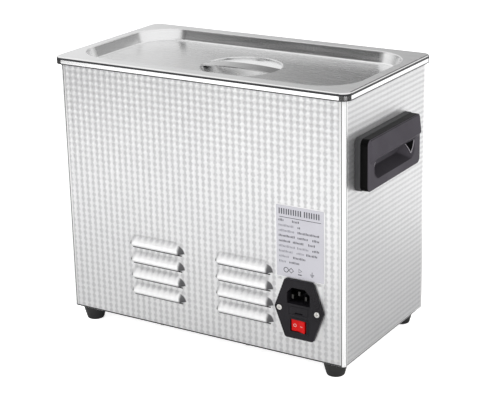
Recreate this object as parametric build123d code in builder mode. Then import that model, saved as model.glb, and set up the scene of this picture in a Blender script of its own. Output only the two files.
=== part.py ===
"""Bench-top ultrasonic cleaner with a sunk lid, as separate pieces in one frame.

Millimetres. The origin is on the floor under the middle of the housing, +X runs to the user's
right, +Y to the rear and +Z up. The lid and the tank have the one-third gastronorm outline.
"""

import os
from math import cos, radians, sin

from build123d import *

os.makedirs("parts", exist_ok=True)

# Lid and tank rim
RIM_LENGTH = 325.0
RIM_DEPTH = 176.0
RIM_CORNER = 10.0
RIM_ROLL = 2.0
LID_TOP = 277.9
SKIRT_BOTTOM = 270.5
LID_SHEET = 0.8

# Housing
BODY_LENGTH = 315.2
BODY_DEPTH = 166.2
BODY_BEND = 3.0
BODY_BOTTOM = 15.0
BODY_TOP = 272.5
SHEET = 1.0
FLANGE = 8.0
HALF_LENGTH = BODY_LENGTH / 2
HALF_DEPTH = BODY_DEPTH / 2
FLOOR_TOP = BODY_BOTTOM + SHEET

# Tank
TANK_SHEET = 0.8
TANK_LENGTH = 307.6
TANK_DEPTH = 152.0
TANK_CORNER = 40.0
TANK_TAPER = 1.2
TANK_RIM_TOP = 276.9
TANK_FLOOR = 127.0
TANK_UNDERSIDE = TANK_FLOOR - TANK_SHEET

# Sunk part of the lid
RECESS_LENGTH = 303.0
RECESS_WIDTH = 147.0
RECESS_CORNER = 39.0
RECESS_DROP = 11.5
RECESS_TAPER = 18.0
DISH_RADIUS = 40.0
DISH_STEP = 2.4
DISH_DROP = 9.0
BAR_WIDTH = 18.0
BAR_SHEET = 1.2

# Feet
FOOT_X = 141.0
FOOT_Y = 70.0
FOOT_TOP_RADIUS = 12.0
FOOT_TOE_RADIUS = 8.5

# End handles
HANDLE_Y = 10.75
HANDLE_Z = 206.5
HANDLE_LENGTH = 108.0
HANDLE_HEIGHT = 49.0
BASE_OUT = 5.8
FRAME_OUT = 14.0
HOOD_OUT = 19.0
HANDLE_SCREW_REACH = 43.5

# Mains inlet on the rear wall
INLET_X = -110.5
INLET_Z = 64.0
INLET_FACE = HALF_DEPTH + 3.1
INLET_BACK = 57.0
INLET_SCREW_REACH = 20.0
SOCKET_Z = 77.6
DRAWER_Z = 63.0
ROCKER_Z = 48.0
ROCKER_PIVOT_Y = 79.9
ROCKER_TILT = 7.0

# Louvres: middle of each group of rows
LOUVRE_CENTRES = (50.0, -49.75)
LOUVRE_ROWS = (47.0, 63.7, 80.3, 97.0)
LOUVRE_LENGTH = 61.0
LOUVRE_HEIGHT = 11.8
LOUVRE_OUT = 4.4

# Control panel on the front wall
CONTROL_Z = 75.0
CONTROL_LENGTH = 150.0
CONTROL_HEIGHT = 70.0
DISPLAY_X = 38.0
DISPLAY_Z = 91.0
BUTTON_Z = 58.0
BUTTON_PITCH = 23.0
BUTTON_RADIUS = 6.0
LAMP_PITCH = 8.0
CONTROL_BOARD_Y = -74.0
BUTTON_XS = [(number - 2.5) * BUTTON_PITCH for number in range(6)]
BUTTON_NAMES = ("power", "time_up", "time_down", "heat_up", "heat_down", "start")

# Generator board on the bottom plate
BOARD_X = -45.0
BOARD_Y = -5.0
BOARD_LENGTH = 150.0
BOARD_WIDTH = 90.0
BOARD_BOTTOM = 27.0
BOARD_THICK = 1.6
BOARD_TOP = BOARD_BOTTOM + BOARD_THICK

# Transducers under the tank
TRANSDUCER_XS = (-90.0, 0.0, 90.0)
PIEZO_RADIUS = 19.0

# Drain at the right-hand end
DRAIN_X = 125.0
DRAIN_Y = -40.0
DRAIN_Z = 60.0
HOSE_BEND = 16.0
TAIL_RADIUS = 6.5

# Screws
M4_RADIUS = 2.0
M3_RADIUS = 1.5
SCREW_PLAY = 0.2


def keep(builder, name):
    """Labels a finished piece and writes its file."""
    builder.part.label = name
    export_step(builder.part, f"parts/{name}.step")


def end_plane(side, out, y=HANDLE_Y, z=HANDLE_Z):
    """A plane facing out of one end wall, `out` from the wall, with local Y upward."""
    return Plane(origin=(side * (HALF_LENGTH + out), y, z), x_dir=(0, side, 0), z_dir=(side, 0, 0))


def rear_plane(y, x=INLET_X, z=INLET_Z):
    """A plane facing the rear, with local X to the user's left and local Y upward."""
    return Plane(origin=(x, y, z), x_dir=(-1, 0, 0), z_dir=(0, 1, 0))


def front_plane(y, x=0.0, z=CONTROL_Z):
    """A plane facing the front, with local X to the user's right and local Y upward."""
    return Plane(origin=(x, y, z), x_dir=(1, 0, 0), z_dir=(0, -1, 0))


def down_plane(z):
    """A level plane facing down."""
    return Plane(origin=(0, 0, z), x_dir=(1, 0, 0), z_dir=(0, 0, -1))


# ---------------------------------------------------------------- housing

FOOT_SPOTS = [(x, y) for x in (-FOOT_X, FOOT_X) for y in (-FOOT_Y, FOOT_Y)]
FLOOR_SCREW_SPOTS = [(x, y) for x in (-50.0, 50.0) for y in (-78.1, 78.1)]
FLOOR_SCREW_SPOTS += [(-152.6, 0.0), (152.6, 0.0)]


def louvre_form(thickness):
    """Half of a pressed louvre: a tapered oblong bump, cut off level below its lip."""
    with BuildPart() as bump:
        with BuildSketch(rear_plane(HALF_DEPTH - SHEET / 2, x=0, z=0)):
            RectangleRounded(
                LOUVRE_LENGTH - 2 * thickness,
                LOUVRE_HEIGHT - 2 * thickness,
                LOUVRE_HEIGHT / 2 - thickness - 0.05,
            )
        extrude(amount=LOUVRE_OUT + SHEET / 2 - thickness, taper=34)
        with BuildSketch(rear_plane(HALF_DEPTH - SHEET, x=0, z=-LOUVRE_HEIGHT / 2 - 1.6)):
            Rectangle(LOUVRE_LENGTH + 10, LOUVRE_HEIGHT)
        extrude(amount=LOUVRE_OUT + 2 * SHEET, mode=Mode.SUBTRACT)
    return bump.part


LOUVRE_SPOTS = [(x, 0, z) for x in LOUVRE_CENTRES for z in LOUVRE_ROWS]
louvre_shell = louvre_form(0.0)
louvre_space = louvre_form(SHEET)

with BuildPart() as housing:
    with BuildSketch(Plane.XY.offset(BODY_BOTTOM)) as outline:
        Rectangle(BODY_LENGTH, BODY_DEPTH)
        fillet(outline.vertices().group_by(Axis.Y)[-1], BODY_BEND)
    extrude(amount=BODY_TOP - BODY_BOTTOM)
    with BuildSketch(Plane.XY.offset(BODY_BOTTOM)) as inside:
        with Locations((0, -SHEET)):
            Rectangle(BODY_LENGTH - 2 * SHEET, BODY_DEPTH)
        fillet(inside.vertices().group_by(Axis.Y)[-1], BODY_BEND - SHEET)
    extrude(amount=BODY_TOP - BODY_BOTTOM, mode=Mode.SUBTRACT)
    # Turned-in bottom flange on three sides, above the bottom plate
    with BuildSketch(Plane.XY.offset(FLOOR_TOP)):
        with Locations((0, 1.3)):
            Rectangle(BODY_LENGTH - SHEET, 162.6)
        with Locations((0, -SHEET - FLANGE)):
            Rectangle(BODY_LENGTH - 2 * SHEET - 2 * FLANGE, BODY_DEPTH, mode=Mode.SUBTRACT)
    extrude(amount=SHEET)
    with Locations(*LOUVRE_SPOTS):
        add(louvre_shell)
    with Locations(*LOUVRE_SPOTS):
        add(louvre_space, mode=Mode.SUBTRACT)
    with BuildSketch(rear_plane(HALF_DEPTH - 2 * SHEET)):
        Rectangle(28.2, 48.2)
        with GridLocations(2 * INLET_SCREW_REACH, 0, 2, 1):
            Circle(M3_RADIUS + SCREW_PLAY)
    extrude(amount=3 * SHEET, mode=Mode.SUBTRACT)
    for side in (-1, 1):
        with BuildSketch(end_plane(side, -2 * SHEET)):
            with GridLocations(2 * HANDLE_SCREW_REACH, 0, 2, 1):
                Circle(M4_RADIUS + SCREW_PLAY)
        extrude(amount=3 * SHEET, mode=Mode.SUBTRACT)
    with BuildSketch(end_plane(1, -2 * SHEET, DRAIN_Y, DRAIN_Z)):
        Circle(TAIL_RADIUS + 0.4)
    extrude(amount=3 * SHEET, mode=Mode.SUBTRACT)
    with BuildSketch(Plane.XY.offset(FLOOR_TOP - SHEET)):
        with Locations(*FLOOR_SCREW_SPOTS):
            Circle(M3_RADIUS + 0.05)
    extrude(amount=3 * SHEET, mode=Mode.SUBTRACT)
keep(housing, "housing")

FRONT_LENGTH = BODY_LENGTH - 2 * SHEET - 0.6
PILLAR_SPOTS = [(x, z) for x in (-68.0, 68.0) for z in (-27.0, 27.0)]

with BuildPart() as front_panel:
    with BuildSketch(front_plane(-HALF_DEPTH + SHEET, z=(BODY_BOTTOM + BODY_TOP) / 2)):
        Rectangle(FRONT_LENGTH, BODY_TOP - BODY_BOTTOM)
    extrude(amount=SHEET)
    # Side returns and bottom flange
    with BuildSketch(Plane.XY.offset(20.0)):
        for side in (-1, 1):
            with Locations((side * (FRONT_LENGTH - SHEET) / 2, -HALF_DEPTH + 6.0)):
                Rectangle(SHEET, 12.0)
    extrude(amount=250.0)
    with BuildSketch(Plane.XY.offset(FLOOR_TOP)):
        with Locations((0, -HALF_DEPTH + (FLANGE + SHEET) / 2)):
            Rectangle(296.0, FLANGE + SHEET)
    extrude(amount=SHEET)
    # Welded pillars for the control board
    with BuildSketch(front_plane(CONTROL_BOARD_Y)):
        with Locations(*PILLAR_SPOTS):
            Circle(2.5)
    extrude(amount=HALF_DEPTH - SHEET / 2 + CONTROL_BOARD_Y)
    with BuildSketch(front_plane(-HALF_DEPTH + 2 * SHEET, z=0)):
        for side in (-1, 1):
            with Locations((side * DISPLAY_X, DISPLAY_Z)):
                Rectangle(37.0, 17.0)
        with Locations(*[(x, BUTTON_Z) for x in BUTTON_XS]):
            Circle(BUTTON_RADIUS + 0.3)
        with Locations((0, DISPLAY_Z)):
            with GridLocations(LAMP_PITCH, 0, 3, 1):
                Circle(1.7)
    extrude(amount=3 * SHEET, mode=Mode.SUBTRACT)
    with BuildSketch(Plane.XY.offset(FLOOR_TOP - SHEET)):
        with Locations(*FLOOR_SCREW_SPOTS[::2][:2]):
            Circle(M3_RADIUS + 0.05)
    extrude(amount=3 * SHEET, mode=Mode.SUBTRACT)
keep(front_panel, "front_panel")

STANDOFF_SPOTS = [
    (BOARD_X + across * (BOARD_LENGTH / 2 - 6), BOARD_Y + along * (BOARD_WIDTH / 2 - 6))
    for across in (-1, 1)
    for along in (-1, 1)
]
EARTH_SPOT = (-132.0, 5.0)

with BuildPart() as bottom_plate:
    with BuildSketch(Plane.XY.offset(BODY_BOTTOM)):
        RectangleRounded(FRONT_LENGTH, BODY_DEPTH - 2 * SHEET - 0.6, 2.5)
        with Locations(*FOOT_SPOTS):
            Circle(M4_RADIUS + SCREW_PLAY, mode=Mode.SUBTRACT)
        with Locations(*FLOOR_SCREW_SPOTS):
            Circle(M3_RADIUS + SCREW_PLAY, mode=Mode.SUBTRACT)
        # Two rows of vent slots
        with Locations((60.0, 0.0)):
            with GridLocations(12.0, 60.0, 5, 2):
                SlotOverall(40.0, 4.0, rotation=90, mode=Mode.SUBTRACT)
    extrude(amount=SHEET)
keep(bottom_plate, "bottom_plate")

# ------------------------------------------------------------------- tank


def pan_form(shrink, floor, bend):
    """The drawn pan's outer or inner form, tapering down from the rim."""
    with BuildPart() as form:
        with BuildSketch(down_plane(TANK_RIM_TOP)):
            RectangleRounded(TANK_LENGTH - shrink, TANK_DEPTH - shrink, TANK_CORNER - shrink / 2)
        extrude(amount=TANK_RIM_TOP - floor, taper=TANK_TAPER)
        fillet(form.faces().sort_by(Axis.Z)[0].edges(), bend)
    return form.part


TANK_FLANGE_LENGTH = RIM_LENGTH - 2 * LID_SHEET - 1.0
TANK_FLANGE_DEPTH = RIM_DEPTH - 2 * LID_SHEET - 1.0
pan_outside = pan_form(-2 * TANK_SHEET, TANK_UNDERSIDE, 15.0)
pan_inside = pan_form(0.0, TANK_FLOOR, 15.0 - TANK_SHEET)

with BuildPart() as tank:
    add(pan_outside)
    # Level flange with a turned-down hem
    with BuildSketch(down_plane(TANK_RIM_TOP)):
        RectangleRounded(TANK_FLANGE_LENGTH, TANK_FLANGE_DEPTH, RIM_CORNER - 1.3)
    extrude(amount=SHEET)
    with BuildSketch(down_plane(TANK_RIM_TOP)):
        RectangleRounded(TANK_FLANGE_LENGTH, TANK_FLANGE_DEPTH, RIM_CORNER - 1.3)
        RectangleRounded(
            TANK_FLANGE_LENGTH - 2 * SHEET,
            TANK_FLANGE_DEPTH - 2 * SHEET,
            RIM_CORNER - 1.3 - SHEET,
            mode=Mode.SUBTRACT,
        )
    extrude(amount=3.6)
    fillet(tank.faces().sort_by(Axis.Z)[-1].edges(), 0.9)
    with BuildSketch(Plane.XY.offset(112.0)):
        with Locations((DRAIN_X, DRAIN_Y)):
            Circle(TAIL_RADIUS)
    extrude(amount=TANK_UNDERSIDE - 112.0)
    add(pan_inside, mode=Mode.SUBTRACT)
    with BuildSketch(Plane.XY.offset(111.0)):
        with Locations((DRAIN_X, DRAIN_Y)):
            Circle(TAIL_RADIUS - 1.2)
    extrude(amount=TANK_FLOOR - 110.0, mode=Mode.SUBTRACT)
keep(tank, "tank")

with BuildPart() as rim_seal:
    with BuildSketch(Plane.XY.offset(BODY_TOP)):
        RectangleRounded(BODY_LENGTH, BODY_DEPTH, BODY_BEND)
        RectangleRounded(BODY_LENGTH - 4.4, BODY_DEPTH - 4.4, BODY_BEND - 1.0, mode=Mode.SUBTRACT)
    extrude(amount=TANK_RIM_TOP - SHEET - BODY_TOP)
keep(rim_seal, "rim_seal")

# -------------------------------------------------------------------- lid

RECESS_FLOOR = LID_TOP - RECESS_DROP
DISH_BOTTOM = RECESS_FLOOR - DISH_DROP


def recess_form(grow, drop):
    """The lid's sunk form, sloping in from the top face."""
    with BuildPart() as form:
        with BuildSketch(down_plane(LID_TOP)):
            RectangleRounded(
                RECESS_LENGTH + 2 * grow, RECESS_WIDTH + 2 * grow, RECESS_CORNER + grow
            )
        extrude(amount=drop, taper=RECESS_TAPER)
        fillet(form.faces().sort_by(Axis.Z)[0].edges(), 2.0 + grow)
    return form.part


def dish_form(grow, lip):
    """The round finger dish: a rounded lip, a short step, then a shallow bowl."""
    step_z = RECESS_FLOOR - DISH_STEP - grow
    bowl_z = DISH_BOTTOM - grow
    radius = DISH_RADIUS + grow
    sag = step_z - bowl_z
    bowl_radius = (radius**2 + sag**2) / (2 * sag)
    with BuildPart() as form:
        with BuildSketch(Plane.XZ):
            with BuildLine():
                Polyline((radius, RECESS_FLOOR - lip), (radius, step_z))
                RadiusArc((0, bowl_z), (radius, step_z), -bowl_radius)
                Polyline((0, bowl_z), (0, RECESS_FLOOR), (radius + lip, RECESS_FLOOR))
                RadiusArc((radius + lip, RECESS_FLOOR), (radius, RECESS_FLOOR - lip), -lip)
            make_face()
        revolve(axis=Axis.Z)
    return form.part


recess_outside = recess_form(LID_SHEET, RECESS_DROP + LID_SHEET)
recess_inside = recess_form(0.0, RECESS_DROP)
dish_outside = dish_form(LID_SHEET, 0.5)
dish_inside = dish_form(0.0, 0.7)

with BuildPart() as skirt_form:
    with BuildSketch(down_plane(LID_TOP - LID_SHEET)):
        RectangleRounded(
            RIM_LENGTH - 2 * LID_SHEET, RIM_DEPTH - 2 * LID_SHEET, RIM_CORNER - LID_SHEET
        )
    extrude(amount=10.0)
    fillet(skirt_form.faces().sort_by(Axis.Z)[-1].edges(), RIM_ROLL - LID_SHEET)
skirt_inside = skirt_form.part

with BuildPart() as lid:
    with BuildSketch(down_plane(LID_TOP)):
        RectangleRounded(RIM_LENGTH, RIM_DEPTH, RIM_CORNER)
    extrude(amount=LID_TOP - SKIRT_BOTTOM)
    fillet(lid.faces().sort_by(Axis.Z)[-1].edges(), RIM_ROLL)
    add(skirt_inside, mode=Mode.SUBTRACT)
    add(recess_outside)
    add(recess_inside, mode=Mode.SUBTRACT)
    top_face = lid.faces().filter_by(Axis.Z).sort_by(Axis.Z)[-1]
    fillet(top_face.inner_wires()[0].edges(), 0.7)
    add(dish_outside)
    add(dish_inside, mode=Mode.SUBTRACT)
keep(lid, "lid")

with BuildPart() as lid_bar:
    with BuildSketch(Plane.XZ):
        with BuildLine():
            bar_end = DISH_RADIUS + 1.0
            Line((-bar_end, RECESS_FLOOR - 2.0), (-bar_end, RECESS_FLOOR - 2.0 + BAR_SHEET))
            ThreePointArc(
                (-bar_end, RECESS_FLOOR - 2.0 + BAR_SHEET),
                (0, RECESS_FLOOR + 1.0),
                (bar_end, RECESS_FLOOR - 2.0 + BAR_SHEET),
            )
            Line((bar_end, RECESS_FLOOR - 2.0 + BAR_SHEET), (bar_end, RECESS_FLOOR - 2.0))
            ThreePointArc(
                (bar_end, RECESS_FLOOR - 2.0),
                (0, RECESS_FLOOR + 1.0 - BAR_SHEET),
                (-bar_end, RECESS_FLOOR - 2.0),
            )
        make_face()
    extrude(amount=BAR_WIDTH / 2, both=True)
    with BuildSketch(Plane.XY.offset(RECESS_FLOOR - 6.0)):
        Circle(DISH_RADIUS - 0.02)
    extrude(amount=12.0, mode=Mode.INTERSECT)
keep(lid_bar, "lid_bar")

# ------------------------------------------------------------ end handles

# Corners of the hood where it leaves the frame, from the handle's centre
HOOD_ROOT = ((-52.9, -0.1), (52.9, -0.1), (52.9, 23.9), (-52.9, 23.9))
# The hood's outer face leans out from its top edge to its lip; its corners are from its own middle
HOOD_TILT = 16.2
HOOD_FACE_OUT = 16.75
HOOD_FACE_Z = HANDLE_Z + 15.75
HOOD_FACE = ((-45.5, -8.1), (45.5, -8.1), (51.0, 8.1), (-51.0, 8.1))

for side, hand in ((-1, "left"), (1, "right")):
    outward = Axis((0, 0, 0), (side, 0, 0))
    hood_face_plane = Plane(
        origin=(side * (HALF_LENGTH + HOOD_FACE_OUT), HANDLE_Y, HOOD_FACE_Z),
        x_dir=(0, side, 0),
        z_dir=(side * cos(radians(HOOD_TILT)), 0, sin(radians(HOOD_TILT))),
    )

    with BuildPart() as handle_base:
        with BuildSketch(end_plane(side, 0)):
            RectangleRounded(HANDLE_LENGTH + 2, HANDLE_HEIGHT + 1.5, 6.5)
        extrude(amount=BASE_OUT)
        fillet(handle_base.faces().sort_by(outward)[-1].edges(), 1.2)
        with BuildSketch(end_plane(side, 0)):
            RectangleRounded(HANDLE_LENGTH - 10, HANDLE_HEIGHT - 9, 4)
        extrude(amount=BASE_OUT, mode=Mode.SUBTRACT)
    keep(handle_base, f"handle_base_{hand}")

    with BuildPart() as handle_grip:
        # Rear boss inside the base, then the wider frame
        with BuildSketch(end_plane(side, 0.1)):
            RectangleRounded(HANDLE_LENGTH - 10.4, HANDLE_HEIGHT - 9.4, 3.8)
        extrude(amount=BASE_OUT)
        with BuildSketch(end_plane(side, BASE_OUT + 0.05)):
            RectangleRounded(HANDLE_LENGTH, HANDLE_HEIGHT, 5.5)
        extrude(amount=FRAME_OUT - BASE_OUT - 0.05)
        fillet(handle_grip.faces().sort_by(outward)[-1].edges(), 1.4)
        # Hood: full length where it leaves the frame, its leaning face narrowing to the lip
        with BuildSketch(end_plane(side, FRAME_OUT - 1.5)):
            with BuildLine():
                FilletPolyline(*HOOD_ROOT, radius=3.0, close=True)
            make_face()
        with BuildSketch(hood_face_plane):
            with BuildLine():
                FilletPolyline(*HOOD_FACE, radius=2.2, close=True)
            make_face()
        loft()
        # Finger opening with sloping walls, and the hollow behind the hood
        with BuildSketch(end_plane(side, 1.8, z=HANDLE_Z - 3.5)):
            RectangleRounded(64.0, 12.0, 5.9)
        with BuildSketch(end_plane(side, HOOD_OUT - 2.5, z=HANDLE_Z - 5.2)):
            RectangleRounded(88.0, 23.4, 9.0)
        loft(mode=Mode.SUBTRACT)
        with BuildSketch(end_plane(side, 4.0, z=HANDLE_Z + 4.5)):
            RectangleRounded(66.0, 20.0, 5.0)
        with BuildSketch(end_plane(side, HOOD_OUT - 4.0, z=HANDLE_Z + 7.0)):
            RectangleRounded(80.0, 13.0, 4.0)
        loft(mode=Mode.SUBTRACT)
        with BuildSketch(end_plane(side, 0)):
            with GridLocations(2 * HANDLE_SCREW_REACH, 0, 2, 1):
                Circle(M4_RADIUS + 0.05)
        extrude(amount=8.0, mode=Mode.SUBTRACT)
    keep(handle_grip, f"handle_grip_{hand}")

with BuildPart() as handle_screws:
    for side in (-1, 1):
        with BuildSketch(end_plane(side, -SHEET - 1.7)):
            with GridLocations(2 * HANDLE_SCREW_REACH, 0, 2, 1):
                Circle(3.5)
        extrude(amount=1.7)
        with BuildSketch(end_plane(side, -SHEET)):
            with GridLocations(2 * HANDLE_SCREW_REACH, 0, 2, 1):
                Circle(M4_RADIUS)
        extrude(amount=SHEET + 7.0)
keep(handle_screws, "handle_screws")

# ------------------------------------------------- feet and floor screws

FOOT_SEAT = 6.0
FOOT_RECESS_RADIUS = 4.6

with BuildPart() as foot_form:
    with BuildSketch(Plane.XZ) as half_section:
        with BuildLine():
            Polyline(
                (M4_RADIUS + SCREW_PLAY, FOOT_SEAT),
                (M4_RADIUS + SCREW_PLAY, BODY_BOTTOM),
                (FOOT_TOP_RADIUS, BODY_BOTTOM),
                (FOOT_TOP_RADIUS, BODY_BOTTOM - 2.0),
                (FOOT_TOE_RADIUS, 0),
                (FOOT_RECESS_RADIUS, 0),
                (FOOT_RECESS_RADIUS, FOOT_SEAT),
                (M4_RADIUS + SCREW_PLAY, FOOT_SEAT),
            )
        make_face()
        toe = half_section.vertices().sort_by_distance((FOOT_TOE_RADIUS, 0, 0))[0]
        fillet(toe, 1.5)
    revolve(axis=Axis.Z)

for x, y in FOOT_SPOTS:
    across = "left" if x < 0 else "right"
    along = "front" if y < 0 else "rear"
    with BuildPart() as foot:
        with Locations((x, y, 0)):
            add(foot_form.part)
    keep(foot, f"foot_{along}_{across}")

with BuildPart() as foot_screws:
    with BuildSketch(Plane.XY.offset(FOOT_SEAT - 2.6)):
        with Locations(*FOOT_SPOTS):
            Circle(3.9)
    extrude(amount=2.6)
    with BuildSketch(Plane.XY.offset(FOOT_SEAT)):
        with Locations(*FOOT_SPOTS):
            Circle(M4_RADIUS)
    extrude(amount=14.5)
keep(foot_screws, "foot_screws")

with BuildPart() as foot_nuts:
    with BuildSketch(Plane.XY.offset(FLOOR_TOP)):
        with Locations(*FOOT_SPOTS):
            RegularPolygon(3.95, 6)
            Circle(M4_RADIUS + 0.05, mode=Mode.SUBTRACT)
    extrude(amount=3.2)
keep(foot_nuts, "foot_nuts")

with BuildPart() as floor_screws:
    with BuildSketch(Plane.XY.offset(BODY_BOTTOM - 1.8)):
        with Locations(*FLOOR_SCREW_SPOTS):
            Circle(3.0)
    extrude(amount=1.8)
    with BuildSketch(Plane.XY.offset(BODY_BOTTOM)):
        with Locations(*FLOOR_SCREW_SPOTS):
            Circle(M3_RADIUS)
    extrude(amount=6.0)
keep(floor_screws, "floor_screws")

# ------------------------------------------------------------ mains inlet

PIN_SPOTS = [(-7.0, 12.1), (7.0, 12.1), (0.0, 16.1)]
SOCKET_DEPTH = 17.0
DRAWER_BACK = 61.0

with BuildPart() as inlet_pins:
    with BuildSketch(rear_plane(INLET_BACK)):
        with Locations(*PIN_SPOTS):
            Rectangle(2.0, 4.0)
    extrude(amount=INLET_FACE - 2.0 - INLET_BACK)
    with BuildSketch(rear_plane(INLET_BACK - 8.0)):
        with Locations(*PIN_SPOTS):
            Rectangle(0.8, 4.8)
    extrude(amount=8.0)
keep(inlet_pins, "inlet_pins")

ROCKER_CENTRE = (0.0, ROCKER_Z - INLET_Z)
ROCKER_WELL = (17.4, 12.4)

with BuildPart() as inlet_body:
    # Six-sided flange with rounded corners, and the case behind the wall
    with BuildSketch(rear_plane(HALF_DEPTH)):
        with BuildLine():
            FilletPolyline(
                (15, 29.5), (26.2, 0), (15, -29.5), (-15, -29.5), (-26.2, 0), (-15, 29.5),
                radius=2.8, close=True,
            )
        make_face()
    extrude(amount=INLET_FACE - HALF_DEPTH)
    fillet(inlet_body.faces().sort_by(Axis.Y)[-1].edges(), 0.8)
    with BuildSketch(rear_plane(INLET_BACK)):
        Rectangle(27.4, 47.4)
    extrude(amount=HALF_DEPTH - INLET_BACK)
    # Thin raised border round the switch
    with BuildSketch(rear_plane(INLET_FACE)):
        with Locations(ROCKER_CENTRE):
            RectangleRounded(ROCKER_WELL[0] + 3.0, ROCKER_WELL[1] + 3.0, 1.0)
    extrude(amount=0.5)
    # Socket with two cut corners at the top
    with BuildSketch(rear_plane(INLET_FACE - SOCKET_DEPTH)) as socket:
        with Locations((0, SOCKET_Z - INLET_Z)):
            Rectangle(24.4, 16.4)
        chamfer(socket.vertices().group_by(Axis.Y)[-1], 5.2)
    extrude(amount=SOCKET_DEPTH, mode=Mode.SUBTRACT)
    # Guide for the fuse drawer
    with BuildSketch(rear_plane(DRAWER_BACK - 0.5)):
        with Locations((0, DRAWER_Z - INLET_Z)):
            Rectangle(20.6, 8.2)
    extrude(amount=INLET_FACE - DRAWER_BACK + 1.0, mode=Mode.SUBTRACT)
    # Well and pivot holes for the switch
    with BuildSketch(rear_plane(71.0)):
        with Locations(ROCKER_CENTRE):
            Rectangle(*ROCKER_WELL)
    extrude(amount=20.0, mode=Mode.SUBTRACT)
    with BuildSketch(Plane.XY.offset(ROCKER_Z - 7.4)):
        with Locations((INLET_X, ROCKER_PIVOT_Y)):
            Circle(1.55)
    extrude(amount=14.8, mode=Mode.SUBTRACT)
    with BuildSketch(rear_plane(HALF_DEPTH - 1.0)):
        with GridLocations(2 * INLET_SCREW_REACH, 0, 2, 1):
            Circle(M3_RADIUS + SCREW_PLAY)
    extrude(amount=6.0, mode=Mode.SUBTRACT)
    add(inlet_pins.part, mode=Mode.SUBTRACT)
keep(inlet_body, "inlet_body")

with BuildPart() as inlet_screws:
    with BuildSketch(rear_plane(INLET_FACE)):
        with GridLocations(2 * INLET_SCREW_REACH, 0, 2, 1):
            Circle(2.8)
    extrude(amount=1.5)
    fillet(inlet_screws.faces().sort_by(Axis.Y)[-2:].edges(), 0.6)
    with BuildSketch(rear_plane(INLET_FACE + 1.5)):
        with GridLocations(2 * INLET_SCREW_REACH, 0, 2, 1):
            Rectangle(2.8, 0.7)
            Rectangle(0.7, 2.8)
    extrude(amount=-0.9, mode=Mode.SUBTRACT)
    with BuildSketch(rear_plane(INLET_FACE - 10.0)):
        with GridLocations(2 * INLET_SCREW_REACH, 0, 2, 1):
            Circle(M3_RADIUS)
    extrude(amount=10.0)
keep(inlet_screws, "inlet_screws")

with BuildPart() as inlet_nuts:
    with BuildSketch(rear_plane(HALF_DEPTH - SHEET - 2.4)):
        with GridLocations(2 * INLET_SCREW_REACH, 0, 2, 1):
            RegularPolygon(3.1, 6)
            Circle(M3_RADIUS + 0.05, mode=Mode.SUBTRACT)
    extrude(amount=2.4)
keep(inlet_nuts, "inlet_nuts")

FUSE_LENGTH = 20.0
FUSE_RADIUS = 2.6

with BuildPart() as fuse_drawer:
    with BuildSketch(rear_plane(DRAWER_BACK)):
        with Locations((0, DRAWER_Z - INLET_Z)):
            Rectangle(20.0, 7.6)
    extrude(amount=INLET_FACE - DRAWER_BACK)
    # Trough for the fuse, open at the top
    with BuildSketch(Plane.XY.offset(DRAWER_Z - FUSE_RADIUS - 0.1)):
        with Locations((INLET_X, DRAWER_BACK + 1.0 + FUSE_LENGTH / 2)):
            Rectangle(2 * FUSE_RADIUS + 0.2, FUSE_LENGTH + 0.6)
    extrude(amount=10.0, mode=Mode.SUBTRACT)
    # Finger catch across the front
    with BuildSketch(rear_plane(INLET_FACE)):
        with Locations((0, DRAWER_Z - INLET_Z - 2.4)):
            Rectangle(9.0, 1.4)
    extrude(amount=-1.6, mode=Mode.SUBTRACT)
keep(fuse_drawer, "fuse_drawer")

with BuildPart() as fuse:
    with BuildSketch(rear_plane(DRAWER_BACK + 1.0)):
        with Locations((0, DRAWER_Z - INLET_Z)):
            Circle(FUSE_RADIUS)
    extrude(amount=FUSE_LENGTH)
    # Waist of the glass between the end caps
    with BuildSketch(rear_plane(DRAWER_BACK + 6.0)):
        with Locations((0, DRAWER_Z - INLET_Z)):
            Circle(FUSE_RADIUS)
            Circle(FUSE_RADIUS - 0.25, mode=Mode.SUBTRACT)
    extrude(amount=FUSE_LENGTH - 10.0, mode=Mode.SUBTRACT)
keep(fuse, "fuse")

# Switch rocker, drawn level about its pivot and turned to the off position
with BuildPart() as rocker_form:
    with BuildSketch(Plane.XY.offset(-5.8)) as rocker_section:
        with BuildLine():
            Polyline(
                (-3.0, -4.0), (-7.2, 1.0), (-7.6, 6.6), (0, 5.4), (7.6, 6.6), (7.2, 1.0), (3.0, -4.0)
            )
            ThreePointArc((3.0, -4.0), (0, -5.0), (-3.0, -4.0))
        make_face()
        fillet(rocker_section.vertices().group_by(Axis.Y)[-1], 0.6)
    extrude(amount=11.6)
    with BuildSketch(Plane.XY.offset(-7.1)):
        Circle(M3_RADIUS)
    extrude(amount=14.2)

with BuildPart() as power_rocker:
    with Locations(Location((INLET_X, ROCKER_PIVOT_Y, ROCKER_Z), (0, 0, -ROCKER_TILT))):
        add(rocker_form.part)
keep(power_rocker, "power_rocker")

with BuildPart() as rating_label:
    with BuildSketch(rear_plane(HALF_DEPTH, x=-111.25, z=129.3)):
        RectangleRounded(50.0, 70.0, 1.0)
    extrude(amount=0.25)
keep(rating_label, "rating_label")

# ---------------------------------------------------------- control panel

OVERLAY_OUT = 0.8
LAMP_SPOTS = [(number * LAMP_PITCH, DISPLAY_Z) for number in (-1, 0, 1)]
BUTTON_SPOTS = [(x, BUTTON_Z) for x in BUTTON_XS]

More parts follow.
